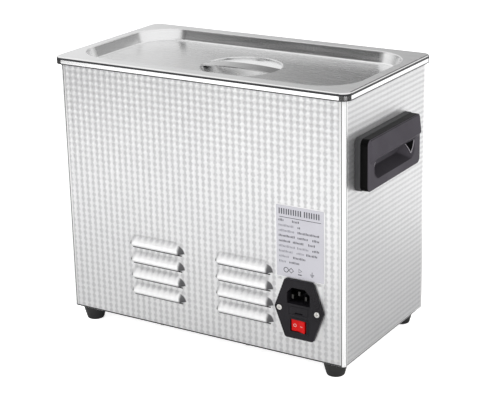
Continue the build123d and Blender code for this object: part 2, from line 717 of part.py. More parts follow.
with BuildPart() as control_overlay:
    with BuildSketch(front_plane(-HALF_DEPTH)):
        RectangleRounded(CONTROL_LENGTH, CONTROL_HEIGHT, 4.0)
    extrude(amount=OVERLAY_OUT)
    with BuildSketch(front_plane(-HALF_DEPTH, z=0)):
        for side in (-1, 1):
            with Locations((side * DISPLAY_X, DISPLAY_Z)):
                RectangleRounded(36.6, 16.6, 1.0)
        with Locations(*BUTTON_SPOTS):
            Circle(BUTTON_RADIUS + 0.3)
        with Locations(*LAMP_SPOTS):
            Circle(1.7)
    extrude(amount=OVERLAY_OUT, mode=Mode.SUBTRACT)
keep(control_overlay, "control_overlay")

with BuildPart() as displays:
    with BuildSketch(front_plane(CONTROL_BOARD_Y, z=0)):
        with Locations((-DISPLAY_X, DISPLAY_Z), (DISPLAY_X, DISPLAY_Z)):
            Rectangle(36.0, 16.0)
    extrude(amount=HALF_DEPTH + 0.4 + CONTROL_BOARD_Y)
keep(displays, "displays")

with BuildPart() as indicator_lamps:
    with BuildSketch(front_plane(CONTROL_BOARD_Y, z=0)):
        with Locations(*LAMP_SPOTS):
            Circle(M3_RADIUS)
    extrude(amount=HALF_DEPTH + 1.2 + CONTROL_BOARD_Y)
    fillet(indicator_lamps.faces().group_by(Axis.Y)[0].edges(), 0.9)
keep(indicator_lamps, "indicator_lamps")

with BuildPart() as control_board:
    with BuildSketch(front_plane(CONTROL_BOARD_Y + BOARD_THICK)):
        RectangleRounded(144.0, 62.0, 1.5)
    extrude(amount=BOARD_THICK)
keep(control_board, "control_board")

with BuildPart() as tact_switches:
    with BuildSketch(front_plane(CONTROL_BOARD_Y, z=0)):
        with Locations(*BUTTON_SPOTS):
            Rectangle(6.0, 6.0)
    extrude(amount=1.8)
    with BuildSketch(front_plane(CONTROL_BOARD_Y - 1.8, z=0)):
        with Locations(*BUTTON_SPOTS):
            Circle(1.7)
    extrude(amount=0.6)
keep(tact_switches, "tact_switches")

BUTTON_FACE = -HALF_DEPTH - 2.4
BUTTON_COLLAR = -HALF_DEPTH + SHEET + 0.5
BUTTON_TIP = CONTROL_BOARD_Y - 3.4

for name, x in zip(BUTTON_NAMES, BUTTON_XS):
    with BuildPart() as button:
        with BuildSketch(front_plane(BUTTON_COLLAR + 1.2, z=0)):
            with Locations((x, BUTTON_Z)):
                Circle(BUTTON_RADIUS)
        extrude(amount=BUTTON_COLLAR + 1.2 - BUTTON_FACE)
        fillet(button.faces().sort_by(Axis.Y)[0].edges(), 0.8)
        with BuildSketch(front_plane(BUTTON_COLLAR + 1.2, z=0)):
            with Locations((x, BUTTON_Z)):
                Circle(BUTTON_RADIUS + 1.3)
        extrude(amount=1.2)
        with BuildSketch(front_plane(BUTTON_TIP, z=0)):
            with Locations((x, BUTTON_Z)):
                Circle(2.4)
        extrude(amount=BUTTON_TIP - BUTTON_COLLAR - 1.2)
    keep(button, f"button_{name}")

# -------------------------------------------------------- generator board

with BuildPart() as generator_board:
    with BuildSketch(Plane.XY.offset(BOARD_BOTTOM)):
        with Locations((BOARD_X, BOARD_Y)):
            RectangleRounded(BOARD_LENGTH, BOARD_WIDTH, 2.0)
        with Locations(*STANDOFF_SPOTS):
            Circle(M3_RADIUS + 0.1, mode=Mode.SUBTRACT)
    extrude(amount=BOARD_THICK)
keep(generator_board, "generator_board")

with BuildPart() as board_standoffs:
    with BuildSketch(Plane.XY.offset(FLOOR_TOP)):
        with Locations(*STANDOFF_SPOTS):
            RegularPolygon(3.2, 6)
    extrude(amount=BOARD_BOTTOM - FLOOR_TOP)
    with BuildSketch(Plane.XY.offset(FLOOR_TOP + 3.0)):
        with Locations(*STANDOFF_SPOTS):
            Circle(M3_RADIUS + 0.05)
    extrude(amount=BOARD_BOTTOM - FLOOR_TOP, mode=Mode.SUBTRACT)
keep(board_standoffs, "board_standoffs")

with BuildPart() as board_screws:
    with BuildSketch(Plane.XY.offset(BOARD_TOP - 8.0)):
        with Locations(*STANDOFF_SPOTS):
            Circle(M3_RADIUS)
    extrude(amount=8.0)
    with BuildSketch(Plane.XY.offset(BOARD_TOP)):
        with Locations(*STANDOFF_SPOTS):
            Circle(2.8)
    extrude(amount=1.8)
keep(board_screws, "board_screws")

SINK_X = -55.0
SINK_Y = -30.0
SINK_LENGTH = 90.0
SINK_WIDTH = 28.0

with BuildPart() as heatsink:
    with BuildSketch(Plane.XY.offset(BOARD_TOP)):
        with Locations((SINK_X, SINK_Y)):
            Rectangle(SINK_LENGTH, SINK_WIDTH)
    extrude(amount=4.0)
    with BuildSketch(Plane.XY.offset(BOARD_TOP + 4.0)):
        with Locations((SINK_X, SINK_Y)):
            with GridLocations(11.0, 0, 9, 1):
                Rectangle(1.8, SINK_WIDTH)
    extrude(amount=20.0)
keep(heatsink, "heatsink")

with BuildPart() as power_transistors:
    with BuildSketch(Plane.XY.offset(BOARD_TOP)):
        with Locations((SINK_X, SINK_Y + SINK_WIDTH / 2 + 2.6)):
            with GridLocations(22.0, 0, 4, 1):
                Rectangle(15.6, 5.0)
    extrude(amount=21.0)
keep(power_transistors, "power_transistors")

CORE_X = 10.0
CORE_Y = 12.0

with BuildPart() as transformer_core:
    with BuildSketch(Plane.XZ.offset(-CORE_Y)) as core_section:
        with Locations((CORE_X, BOARD_TOP + 14.0)):
            Rectangle(36.0, 28.0)
            for side in (-1, 1):
                with Locations((side * 9.0, 0)):
                    Rectangle(8.0, 18.0, mode=Mode.SUBTRACT)
    extrude(amount=11.0, both=True)
keep(transformer_core, "transformer_core")

with BuildPart() as transformer_coil:
    with BuildSketch(Plane.XY.offset(BOARD_TOP + 5.4)):
        with Locations((CORE_X, CORE_Y)):
            RectangleRounded(25.6, 37.0, 6.0)
            Rectangle(10.4, 22.4, mode=Mode.SUBTRACT)
    extrude(amount=17.2)
keep(transformer_coil, "transformer_coil")

with BuildPart() as capacitors:
    with BuildSketch(Plane.XY.offset(BOARD_TOP)):
        with Locations((-60.0, 16.0), (-38.0, 16.0)):
            Circle(9.0)
        with Locations((-82.0, 16.0)):
            Rectangle(12.0, 26.0)
    extrude(amount=26.0)
keep(capacitors, "capacitors")

BLOCK_Y = 25.0
BLOCK_TOP = BOARD_TOP + 12.0

with BuildPart() as terminal_block:
    with BuildSketch(Plane.XY.offset(BOARD_TOP)):
        with Locations((INLET_X, BLOCK_Y)):
            Rectangle(14.0 + 9.0, 10.0)
    extrude(amount=12.0)
    with BuildSketch(Plane.XY.offset(BLOCK_TOP)):
        with Locations((INLET_X, BLOCK_Y)):
            with GridLocations(14.0, 0, 2, 1):
                Circle(1.8)
    extrude(amount=-6.0, mode=Mode.SUBTRACT)
keep(terminal_block, "terminal_block")

with BuildPart() as earth_stud:
    with BuildSketch(Plane.XY.offset(FLOOR_TOP)):
        with Locations(EARTH_SPOT):
            Circle(4.0)
    extrude(amount=1.2)
    with BuildSketch(Plane.XY.offset(FLOOR_TOP)):
        with Locations(EARTH_SPOT):
            Circle(M4_RADIUS)
    extrude(amount=10.0)
    with BuildSketch(Plane.XY.offset(FLOOR_TOP + 4.0)):
        with Locations(EARTH_SPOT):
            RegularPolygon(4.0, 6)
    extrude(amount=3.2)
keep(earth_stud, "earth_stud")

# ------------------------------------------------------------------ wires

WIRE_RADIUS = 1.3
TAB_END = INLET_BACK - 8.0


def bend_radii(points):
    """An arc for each corner of a route, as large as its two runs allow."""
    radii = []
    for before, corner, after in zip(points, points[1:], points[2:]):
        into = Vector(*corner) - Vector(*before)
        out_of = Vector(*after) - Vector(*corner)
        half_turn = into.get_angle(out_of) / 2
        radii.append(0.45 * min(into.length, out_of.length) / tan_degrees(half_turn))
    return radii


def tan_degrees(angle):
    """Tangent of an angle in degrees, from the height of a right triangle."""
    leg = Vector(1, 0, 0).rotate(Axis.Z, angle)
    return leg.Y / leg.X


def wire_form(points):
    """A round lead along straight runs joined by arcs."""
    with BuildPart() as lead:
        with BuildLine() as route:
            FilletPolyline(*points, radius=bend_radii(points))
        with BuildSketch(Plane(origin=route.line @ 0, z_dir=route.line % 0)):
            Circle(WIRE_RADIUS)
        sweep(path=route.line)
    return lead.part


def mains_lead(side):
    """Live or neutral: from its pin's tab down into the terminal block."""
    wire_x = INLET_X + side * 7.0
    return wire_form([
        (wire_x, TAB_END - 0.1, 76.1),
        (wire_x, 37.5, 74.0),
        (wire_x, 28.5, 66.0),
        (wire_x, BLOCK_Y, 54.0),
        (wire_x, BLOCK_Y, BLOCK_TOP - 5.0),
    ])


earth_lead = wire_form([
    (INLET_X, TAB_END - 0.1, 80.1),
    (INLET_X, 40.5, 80.0),
    (-124.0, 31.0, 72.0),
    (-130.0, 24.0, 56.0),
    (-131.5, 18.0, 38.0),
    (-132.0, 13.0, 20.0),
])
live_lead = mains_lead(1)
neutral_lead = mains_lead(-1)

with BuildPart() as mains_wires:
    add(live_lead)
    add(neutral_lead)
keep(mains_wires, "mains_wires")

with BuildPart() as earth_wire:
    add(earth_lead)
    with BuildSketch(Plane.XY.offset(FLOOR_TOP + 1.3)):
        with Locations(EARTH_SPOT):
            Circle(4.2)
            Circle(M4_RADIUS + 0.1, mode=Mode.SUBTRACT)
        with Locations((EARTH_SPOT[0], EARTH_SPOT[1] + 7.0)):
            Rectangle(4.0, 7.5)
    extrude(amount=2.5)
keep(earth_wire, "earth_wire")

# ------------------------------------------ transducers and tank fittings

RING_THICK = 5.0
FRONT_MASS_BOTTOM = 104.0
STACK_BOTTOM = FRONT_MASS_BOTTOM - 2 * RING_THICK
BACK_MASS_BOTTOM = STACK_BOTTOM - 20.0
TRANSDUCER_SPOTS = [(x, 0) for x in TRANSDUCER_XS]

with BuildPart() as front_masses:
    with BuildSketch(Plane.XY.offset(FRONT_MASS_BOTTOM)):
        with Locations(*TRANSDUCER_SPOTS):
            Circle(PIEZO_RADIUS)
    extrude(amount=TANK_UNDERSIDE - 0.1 - FRONT_MASS_BOTTOM, taper=-11)
    with BuildSketch(Plane.XY.offset(FRONT_MASS_BOTTOM)):
        with Locations(*TRANSDUCER_SPOTS):
            Circle(5.1)
    extrude(amount=12.0, mode=Mode.SUBTRACT)
keep(front_masses, "front_masses")

# Two rings in each stack, with a copper contact sheet's gap between them
with BuildPart() as piezo_rings:
    for level in (0, 1):
        with BuildSketch(Plane.XY.offset(STACK_BOTTOM + level * RING_THICK + 0.15)):
            with Locations(*TRANSDUCER_SPOTS):
                Circle(PIEZO_RADIUS)
                Circle(7.5, mode=Mode.SUBTRACT)
        extrude(amount=RING_THICK - 0.3)
keep(piezo_rings, "piezo_rings")

with BuildPart() as back_masses:
    with BuildSketch(Plane.XY.offset(BACK_MASS_BOTTOM)):
        with Locations(*TRANSDUCER_SPOTS):
            Circle(PIEZO_RADIUS)
            Circle(5.1, mode=Mode.SUBTRACT)
    extrude(amount=20.0)
    chamfer(back_masses.faces().group_by(Axis.Z)[0].edges().filter_by(
        lambda edge: edge.length > 100), 1.0)
keep(back_masses, "back_masses")

with BuildPart() as transducer_bolts:
    with BuildSketch(Plane.XY.offset(BACK_MASS_BOTTOM - 8.0)):
        with Locations(*TRANSDUCER_SPOTS):
            Circle(7.5)
            RegularPolygon(4.2, 6, mode=Mode.SUBTRACT)
    extrude(amount=6.0)
    with BuildSketch(Plane.XY.offset(BACK_MASS_BOTTOM - 2.0)):
        with Locations(*TRANSDUCER_SPOTS):
            Circle(7.5)
    extrude(amount=2.0)
    with BuildSketch(Plane.XY.offset(BACK_MASS_BOTTOM)):
        with Locations(*TRANSDUCER_SPOTS):
            Circle(5.0)
    extrude(amount=FRONT_MASS_BOTTOM + 11.0 - BACK_MASS_BOTTOM)
keep(transducer_bolts, "transducer_bolts")

HEATER_Z = 180.0
lean = Vector(0, 1, 0).rotate(Axis.X, -TANK_TAPER)
heater_y = TANK_DEPTH / 2 + TANK_SHEET - (TANK_RIM_TOP - HEATER_Z) * tan_degrees(TANK_TAPER) + 0.1

with BuildPart() as heaters:
    for side in (-1, 1):
        with BuildSketch(
            Plane(origin=(0, side * heater_y, HEATER_Z), x_dir=(1, 0, 0), z_dir=(0, side * lean.Y, lean.Z))
        ):
            RectangleRounded(190.0, 60.0, 3.0)
        extrude(amount=1.2)
keep(heaters, "heaters")

with BuildPart() as temperature_sensor:
    with BuildSketch(Plane.XY.offset(TANK_UNDERSIDE - 4.1)):
        with Locations((45.0, 0)):
            RectangleRounded(12.0, 8.0, 2.0)
    extrude(amount=4.0)
keep(temperature_sensor, "temperature_sensor")

# ------------------------------------------------------------------ drain

HOSE_END = 152.0
VALVE_OUT = 15.6
VALVE_X = HALF_LENGTH + 8.2
NOZZLE_RADIUS = 5.0
NOZZLE_BOTTOM = 28.0
COLLAR_BOTTOM = 48.0
COLLAR_HEIGHT = 4.0
COLLAR_RADIUS = 6.8
BORE_RADIUS = 3.6

with BuildPart() as drain_hose:
    with BuildLine() as hose_route:
        FilletPolyline(
            (DRAIN_X, DRAIN_Y, TANK_UNDERSIDE - 1.0),
            (DRAIN_X, DRAIN_Y, DRAIN_Z),
            (HOSE_END, DRAIN_Y, DRAIN_Z),
            radius=HOSE_BEND,
        )
    with BuildSketch(Plane(origin=hose_route.line @ 0, z_dir=hose_route.line % 0)):
        Circle(TAIL_RADIUS + 2.4)
        Circle(TAIL_RADIUS + 0.05, mode=Mode.SUBTRACT)
    sweep(path=hose_route.line)
keep(drain_hose, "drain_hose")

with BuildPart() as drain_valve:
    with BuildSketch(end_plane(1, -15.0, DRAIN_Y, DRAIN_Z)):
        Circle(TAIL_RADIUS)
    extrude(amount=16.0)
    with BuildSketch(end_plane(1, 0, DRAIN_Y, DRAIN_Z)):
        RegularPolygon(11.0, 6)
    extrude(amount=2.6)
    with BuildSketch(end_plane(1, 2.6, DRAIN_Y, DRAIN_Z)):
        Circle(8.5)
    extrude(amount=VALVE_OUT - 4.1)
    with BuildSketch(end_plane(1, VALVE_OUT - 1.5, DRAIN_Y, DRAIN_Z)):
        Circle(4.5)
    extrude(amount=1.5)
    with BuildSketch(Plane.XY.offset(NOZZLE_BOTTOM)):
        with Locations((VALVE_X, DRAIN_Y)):
            Circle(NOZZLE_RADIUS)
    extrude(amount=DRAIN_Z - NOZZLE_BOTTOM)
    # Collar that stops a hose pushed up the nozzle
    with BuildSketch(Plane.XY.offset(COLLAR_BOTTOM)):
        with Locations((VALVE_X, DRAIN_Y)):
            Circle(COLLAR_RADIUS)
    extrude(amount=COLLAR_HEIGHT)
    # Waterway: in from the hose, then down through the nozzle
    with BuildSketch(end_plane(1, -15.0, DRAIN_Y, DRAIN_Z)):
        Circle(BORE_RADIUS)
    extrude(amount=15.0 + VALVE_X - HALF_LENGTH, mode=Mode.SUBTRACT)
    with BuildSketch(Plane.XY.offset(NOZZLE_BOTTOM)):
        with Locations((VALVE_X, DRAIN_Y)):
            Circle(BORE_RADIUS)
    extrude(amount=DRAIN_Z - NOZZLE_BOTTOM, mode=Mode.SUBTRACT)
    # Thread hole for the lever's screw
    with BuildSketch(end_plane(1, VALVE_OUT, DRAIN_Y, DRAIN_Z)):
        Circle(M3_RADIUS + 0.05)
    extrude(amount=-3.6, mode=Mode.SUBTRACT)
keep(drain_valve, "drain_valve")

LEVER_IN = VALVE_OUT + 0.3
LEVER_THICK = 3.0

with BuildPart() as drain_lever:
    with BuildSketch(end_plane(1, LEVER_IN, DRAIN_Y, DRAIN_Z)):
        Circle(6.5)
        with Locations((0, 20.0)):
            SlotOverall(52.0, 9.0, rotation=90)
    extrude(amount=LEVER_THICK)
    fillet(drain_lever.faces().sort_by(Axis.X)[-1].edges(), 0.8)
    with BuildSketch(end_plane(1, LEVER_IN, DRAIN_Y, DRAIN_Z)):
        Circle(M3_RADIUS + 0.05)
    extrude(amount=LEVER_THICK, mode=Mode.SUBTRACT)
    with BuildSketch(end_plane(1, LEVER_IN + 1.4, DRAIN_Y, DRAIN_Z)):
        Circle(3.2)
    extrude(amount=LEVER_THICK, mode=Mode.SUBTRACT)
keep(drain_lever, "drain_lever")

with BuildPart() as lever_screw:
    with BuildSketch(end_plane(1, LEVER_IN + 1.45, DRAIN_Y, DRAIN_Z)):
        Circle(3.0)
    extrude(amount=1.4)
    with BuildSketch(end_plane(1, LEVER_IN + 1.45, DRAIN_Y, DRAIN_Z)):
        Circle(M3_RADIUS)
    extrude(amount=-5.0)
keep(lever_screw, "lever_screw")
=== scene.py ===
"""Studio scene of the bench-top ultrasonic cleaner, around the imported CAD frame. Metres."""

import math

import bmesh
import bpy
import numpy as np
from mathutils import Matrix, Vector


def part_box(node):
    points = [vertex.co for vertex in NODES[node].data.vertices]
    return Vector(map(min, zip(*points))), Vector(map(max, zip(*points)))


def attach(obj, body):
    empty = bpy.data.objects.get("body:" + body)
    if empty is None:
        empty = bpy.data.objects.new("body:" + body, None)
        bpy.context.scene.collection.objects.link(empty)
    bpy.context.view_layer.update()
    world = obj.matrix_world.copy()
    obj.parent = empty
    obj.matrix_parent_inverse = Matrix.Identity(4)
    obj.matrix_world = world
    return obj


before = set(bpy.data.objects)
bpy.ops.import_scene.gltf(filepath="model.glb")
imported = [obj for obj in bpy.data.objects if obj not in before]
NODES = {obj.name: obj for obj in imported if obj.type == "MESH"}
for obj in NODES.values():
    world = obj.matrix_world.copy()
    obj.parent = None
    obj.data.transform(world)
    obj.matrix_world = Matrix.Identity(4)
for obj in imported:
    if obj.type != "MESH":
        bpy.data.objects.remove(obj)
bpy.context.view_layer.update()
MM = 0.001
HOUSING = ("cleaner", "embossed_steel")

# ---- camera

CAMERA_AT = Vector((-0.7364, 1.1737, 0.5995))
CAMERA_LOOKS_AT = Vector((-0.0104, 0.0, 0.1444))
CAMERA_ROLL = math.radians(-1.17)
CAMERA_LENS = 109.15
CAMERA_SHIFT = (-0.025, -0.027)


def make_camera():
    data = bpy.data.cameras.new("camera")
    data.lens = CAMERA_LENS
    data.sensor_width = 36.0
    data.shift_x, data.shift_y = CAMERA_SHIFT
    data.clip_start = 0.02
    data.clip_end = 40.0
    camera = bpy.data.objects.new("camera", data)
    turn = (CAMERA_LOOKS_AT - CAMERA_AT).to_track_quat("-Z", "Y").to_matrix().to_4x4()
    camera.matrix_world = Matrix.Translation(CAMERA_AT) @ turn @ Matrix.Rotation(CAMERA_ROLL, 4, "Z")
    bpy.context.scene.collection.objects.link(camera)
    bpy.context.scene.camera = camera


# ---- node helpers


class Graph:
    """A short way to write a node tree: put() makes a node and wires or sets its inputs."""

    def __init__(self, tree):
        self.tree = tree

    def put(self, kind, inputs=None, **settings):
        node = self.tree.nodes.new(kind)
        for key, value in settings.items():
            setattr(node, key, value)
        for key, value in (inputs or {}).items():
            socket = node.inputs[key]
            if isinstance(value, bpy.types.NodeSocket):
                self.tree.links.new(value, socket)
            else:
                socket.default_value = value
        return node

    def math(self, operation, *values):
        inputs = dict(enumerate(values))
        return self.put("ShaderNodeMath", inputs, operation=operation).outputs[0]

    def spread(self, value, low, high, to_low, to_high, smooth=False):
        kind = "SMOOTHSTEP" if smooth else "LINEAR"
        inputs = {0: value, 1: low, 2: high, 3: to_low, 4: to_high}
        return self.put("ShaderNodeMapRange", inputs, interpolation_type=kind).outputs[0]

    def parts(self, vector):
        return self.put("ShaderNodeSeparateXYZ", {0: vector}).outputs

    def rise(self, value, low, high):
        """0 up to low, 1 from high on, and smooth between them."""
        return self.spread(value, low, high, 0.0, 1.0, smooth=True)

    def fall(self, value, low, high):
        return self.spread(value, low, high, 1.0, 0.0, smooth=True)

    def times(self, first, second):
        return self.math("MULTIPLY", first, second)

    def plus(self, first, second):
        return self.math("ADD", first, second)

    def minus(self, first, second):
        return self.math("SUBTRACT", first, second)

    def contrast(self, noise):
        """Stretches the usual range of a noise over 0 to 1."""
        return self.spread(noise, 0.3, 0.7, 0.0, 1.0)

    def wire(self, value, node, socket):
        self.tree.links.new(value, node.inputs[socket])

    def bump(self, shader, height, strength, distance):
        inputs = {"Height": height, "Strength": strength, "Distance": distance}
        self.wire(self.put("ShaderNodeBump", inputs).outputs[0], shader, "Normal")

    def blend(self, amount, first, second, mode="MIX"):
        inputs = {0: amount, 6: first, 7: second}
        return self.put("ShaderNodeMix", inputs, data_type="RGBA", blend_type=mode).outputs[2]

    def noise(self, where, scale, detail=3.0, roughness=0.5, stretch=None):
        if stretch is not None:
            where = self.put("ShaderNodeMapping", {"Vector": where, "Scale": stretch}).outputs[0]
        inputs = {"Vector": where, "Scale": scale, "Detail": detail, "Roughness": roughness}
        return self.put("ShaderNodeTexNoise", inputs).outputs[0]


def colour(*rgb):
    return (*rgb, 1.0)


def shade(rgb, factor):
    return (*(min(1.0, part * factor) for part in rgb), 1.0)


WHITE = colour(1.0, 1.0, 1.0)


# ---- materials

# a wall's lattice: pitch across and up, and how much of the relief the columns take
REAR_LATTICE = (6.9 * MM, 6.1 * MM, 0.66)
SIDE_LATTICE = (6.9 * MM, 5.1 * MM, 0.16)
REAR_DEPTH = 0.30 * MM
SIDE_DEPTH = 0.11 * MM
LATTICE_CENTRE = 0.14
# the rear louvres: their rows' heights, their columns' middles, then the form of one
LOUVRE_ROWS = (0.0470, 0.0637, 0.0803, 0.0970)
LOUVRE_COLUMNS = (0.0500, -0.04975)
LOUVRE_LENGTH = 0.061
LOUVRE_TOP = 0.0059
LOUVRE_LIP = 0.0016
LOUVRE_OUT = 4.4 * MM
LOUVRE_SLOPE = 1.4826
LOUVRE_END = 8.5 * MM
LOUVRE_DRAW = 1.5 * MM
LOUVRE_FADE = 11.5 * MM
LOUVRE_FLAT = 0.40
LOUVRE_PITCH = (LOUVRE_ROWS[-1] - LOUVRE_ROWS[0]) / 3
LOUVRE_SPACING = LOUVRE_COLUMNS[0] - LOUVRE_COLUMNS[1]
# a wall's colour on the ridges, and on the pads between them darkened as painted shade; the side walls'
# copy is darker overall, also painted shade
REAR_STEEL = ((0.95, 0.95, 0.952), (0.74, 0.74, 0.745))
SIDE_STEEL = ((0.82, 0.82, 0.822), (0.71, 0.71, 0.715))


def new_material(name):
    made = bpy.data.materials.new(name)
    made.use_nodes = True
    graph = Graph(made.node_tree)
    shader = made.node_tree.nodes["Principled BSDF"]
    where = graph.put("ShaderNodeTexCoord").outputs["Object"]
    return made, graph, shader, where


def surface(
    name, base, rough, metallic=0.0, vary=0.06, vary_scale=40.0, rough_vary=0.05, grain_scale=900.0,
    grain_stretch=None, grain_bump=0.03, grain_tint=0.03, speck=0.0, speck_scale=2500.0, **uniform,
):
    """Base colour that drifts, a grain that tints and bumps, and roughness that follows both."""
    made, graph, shader, where = new_material(name)
    drift = graph.noise(where, vary_scale, 4.0, 0.55)
    grain = graph.noise(where, grain_scale, 5.0, 0.6, grain_stretch)
    tone = graph.blend(graph.contrast(drift), shade(base, 1.0 - vary), shade(base, 1.0 + vary))
    tint = shade((1.0, 1.0, 1.0), 1.0 - grain_tint)
    tinted = graph.blend(graph.spread(grain, 0.35, 0.65, 0.0, 1.0), tint, WHITE)
    final = graph.blend(1.0, tone, tinted, "MULTIPLY")
    if speck:
        dots = graph.noise(where, speck_scale, 2.0, 0.5)
        final = graph.blend(graph.spread(dots, 0.62, 0.7, 0.0, speck), final, shade(base, 2.2))
    graph.wire(final, shader, "Base Color")
    mixed = graph.plus(graph.times(drift, 0.5), graph.times(grain, 0.5))
    roughness = graph.spread(mixed, 0.35, 0.65, max(0.02, rough - rough_vary), rough + rough_vary)
    graph.wire(roughness, shader, "Roughness")
    graph.bump(shader, grain, grain_bump, 0.0004)
    shader.inputs["Metallic"].default_value = metallic
    for key, value in uniform.items():
        shader.inputs[key.replace("_", " ")].default_value = value
    return made


def louvre_masks(graph, parts):
    """Where the rear wall is pressed into louvres, as masks for painted light: (painted highlight on the
    face, painted dark reflection on the drawn ends, painted shade at the lip).
    """
    lowest = LOUVRE_ROWS[0] - LOUVRE_LIP
    highest = LOUVRE_ROWS[-1] - LOUVRE_LIP + LOUVRE_PITCH
    reach = LOUVRE_SPACING / 2
    above = graph.math("WRAP", graph.minus(parts[2], lowest), LOUVRE_PITCH, 0.0)
    local = graph.math("WRAP", graph.minus(parts[0], LOUVRE_COLUMNS[0]), reach, -reach)
    from_below = graph.spread(parts[2], lowest - 0.3 * MM, lowest, 0.0, 1.0)
    to_above = graph.spread(parts[2], highest - 1.0 * MM, highest, 1.0, 0.0)
    across = graph.spread(graph.math("ABSOLUTE", parts[0]), 84.0 * MM, 86.0 * MM, 1.0, 0.0)
    rear = graph.spread(parts[1], 0.0, 10.0 * MM, 0.0, 1.0)
    zone = graph.times(graph.times(from_below, to_above), graph.times(across, rear))
    past = graph.minus(graph.math("ABSOLUTE", local), LOUVRE_LENGTH / 2 - LOUVRE_END)
    ends = graph.math("MAXIMUM", graph.math("DIVIDE", past, LOUVRE_END + LOUVRE_DRAW), 0.0)
    rises = graph.math("DIVIDE", above, 9.0 * MM)
    squares = graph.plus(graph.math("POWER", ends, 2.0), graph.math("POWER", rises, 2.0))
    outline = graph.math("SQRT", squares)
    body = graph.times(zone, graph.fall(outline, 0.55, 1.05))
    inside = graph.times(zone, graph.fall(outline, 0.96, 1.06))
    # painted dark reflection on the drawn ends: the far end, and a hook at the near end
    far_end = graph.fall(local, -28.0 * MM, -25.0 * MM)
    hook = graph.spread(local, 27.5 * MM, 30.5 * MM, 0.0, 0.85, smooth=True)
    near_end = graph.times(hook, graph.spread(above, 1.5 * MM, 5.0 * MM, 1.0, 0.0))
    drawn = graph.times(inside, graph.math("MAXIMUM", far_end, near_end))
    lip = graph.times(inside, graph.fall(above, 0.2 * MM, 2.0 * MM))
    return body, drawn, lip


def embossed_steel(name, axis, lattice_form, ridge, pad, louvred=False):
    """Rolled steel with an embossed lattice: the pads are a little rougher than the ridges and darkened as
    painted shade.
    """
    made, graph, shader, where = new_material(name)
    pitch_across, pitch_up, weight = lattice_form
    parts = graph.parts(where)
    across = graph.math("COSINE", graph.times(parts[axis], 2 * math.pi / pitch_across))
    rise = graph.minus(parts[2], LATTICE_CENTRE)
    up = graph.math("COSINE", graph.times(rise, 2 * math.pi / pitch_up))
    lattice = graph.plus(graph.times(across, weight), graph.times(up, 1.0 - weight))
    drift = graph.noise(where, 9.0, 3.0)
    grain = graph.noise(where, 700.0, 4.0, 0.6, (1.0, 1.0, 0.06))
    wobble = graph.times(graph.minus(graph.noise(where, 520.0, 3.0), 0.5), 1.5)
    # painted shade: the pads between the ridges darkened along the lattice
    pads = graph.rise(graph.plus(lattice, wobble), -0.45, 0.65)
    tone = graph.blend(pads, colour(*ridge), colour(*pad))
    veil = graph.blend(graph.contrast(drift), colour(0.95, 0.95, 0.955), WHITE)
    final = graph.blend(1.0, tone, veil, "MULTIPLY")
    if louvred:
        body, drawn, lip = louvre_masks(graph, parts)
        # painted highlight on the louvre faces, which are also made less metallic; painted shade at the
        # lips; painted dark reflection on the drawn ends
        final = graph.blend(graph.times(body, 0.8), final, WHITE)
        final = graph.blend(graph.times(lip, 0.6), final, colour(0.3, 0.3, 0.31))
        final = graph.blend(graph.times(drawn, 0.92), final, colour(0.10, 0.10, 0.105))
        gloss = graph.times(graph.minus(1.0, drawn), graph.times(body, 0.42))
        graph.wire(graph.minus(1.0, gloss), shader, "Metallic")
    graph.wire(final, shader, "Base Color")
    roughness = graph.spread(graph.plus(grain, graph.times(pads, 0.25)), 0.3, 0.9, 0.40, 0.54)
    graph.wire(roughness, shader, "Roughness")
    graph.bump(shader, grain, 0.04, 0.0003)
    if not louvred:
        shader.inputs["Metallic"].default_value = 1.0
    return made


def grip_plastic():
    """Moulded grip: a grained slate face on the front, and polished walls round it painted near black as
    painted shade.
    """
    made, graph, shader, where = new_material("grip_plastic")
    normal = graph.put("ShaderNodeTexCoord").outputs["Normal"]
    side = graph.math("ABSOLUTE", graph.parts(normal)[0])
    face = graph.rise(side, 0.25, 0.6)
    grain = graph.noise(where, 1800.0, 3.0, 0.6)
    drift = graph.noise(where, 30.0, 3.0)
    slate = graph.blend(graph.contrast(drift), colour(0.056, 0.051, 0.060), colour(0.068, 0.063, 0.073))
    # painted shade: walls not facing along x are darkened to near black
    black = graph.blend(grain, colour(0.002, 0.002, 0.002), colour(0.005, 0.005, 0.005))
    graph.wire(graph.blend(face, black, slate), shader, "Base Color")
    worn = graph.spread(grain, 0.3, 0.7, 0.12, 0.2)
    matte = graph.spread(grain, 0.3, 0.7, 0.42, 0.55)
    weighted = graph.times(face, graph.minus(matte, worn))
    graph.wire(graph.plus(worn, weighted), shader, "Roughness")
    graph.bump(shader, grain, 0.12, 0.0002)
    shader.inputs["Specular IOR Level"].default_value = 0.03
    return made


def board_laminate():
    """Green solder mask over faint copper tracks, with a speckle of vias."""
    made, graph, shader, where = new_material("board_laminate")
    cells = graph.put("ShaderNodeTexVoronoi", {"Vector": where, "Scale": 140.0}, distance="MANHATTAN")
    tracks = graph.math("FRACT", graph.times(cells.outputs["Distance"], 5.0))
    lines = graph.spread(tracks, 0.35, 0.45, 0.0, 1.0)
    tone = graph.blend(lines, colour(0.012, 0.11, 0.035), colour(0.02, 0.2, 0.07))
    vias = graph.put("ShaderNodeTexVoronoi", {"Vector": where, "Scale": 330.0}).outputs["Distance"]
    dots = graph.spread(vias, 0.1, 0.14, 1.0, 0.0)
    graph.wire(graph.blend(dots, tone, colour(0.55, 0.52, 0.42)), shader, "Base Color")
    graph.wire(graph.spread(lines, 0.0, 1.0, 0.3, 0.42), shader, "Roughness")
    graph.bump(shader, lines, 0.2, 0.0001)
    return made


WIRE_PITCH = 0.8 * MM


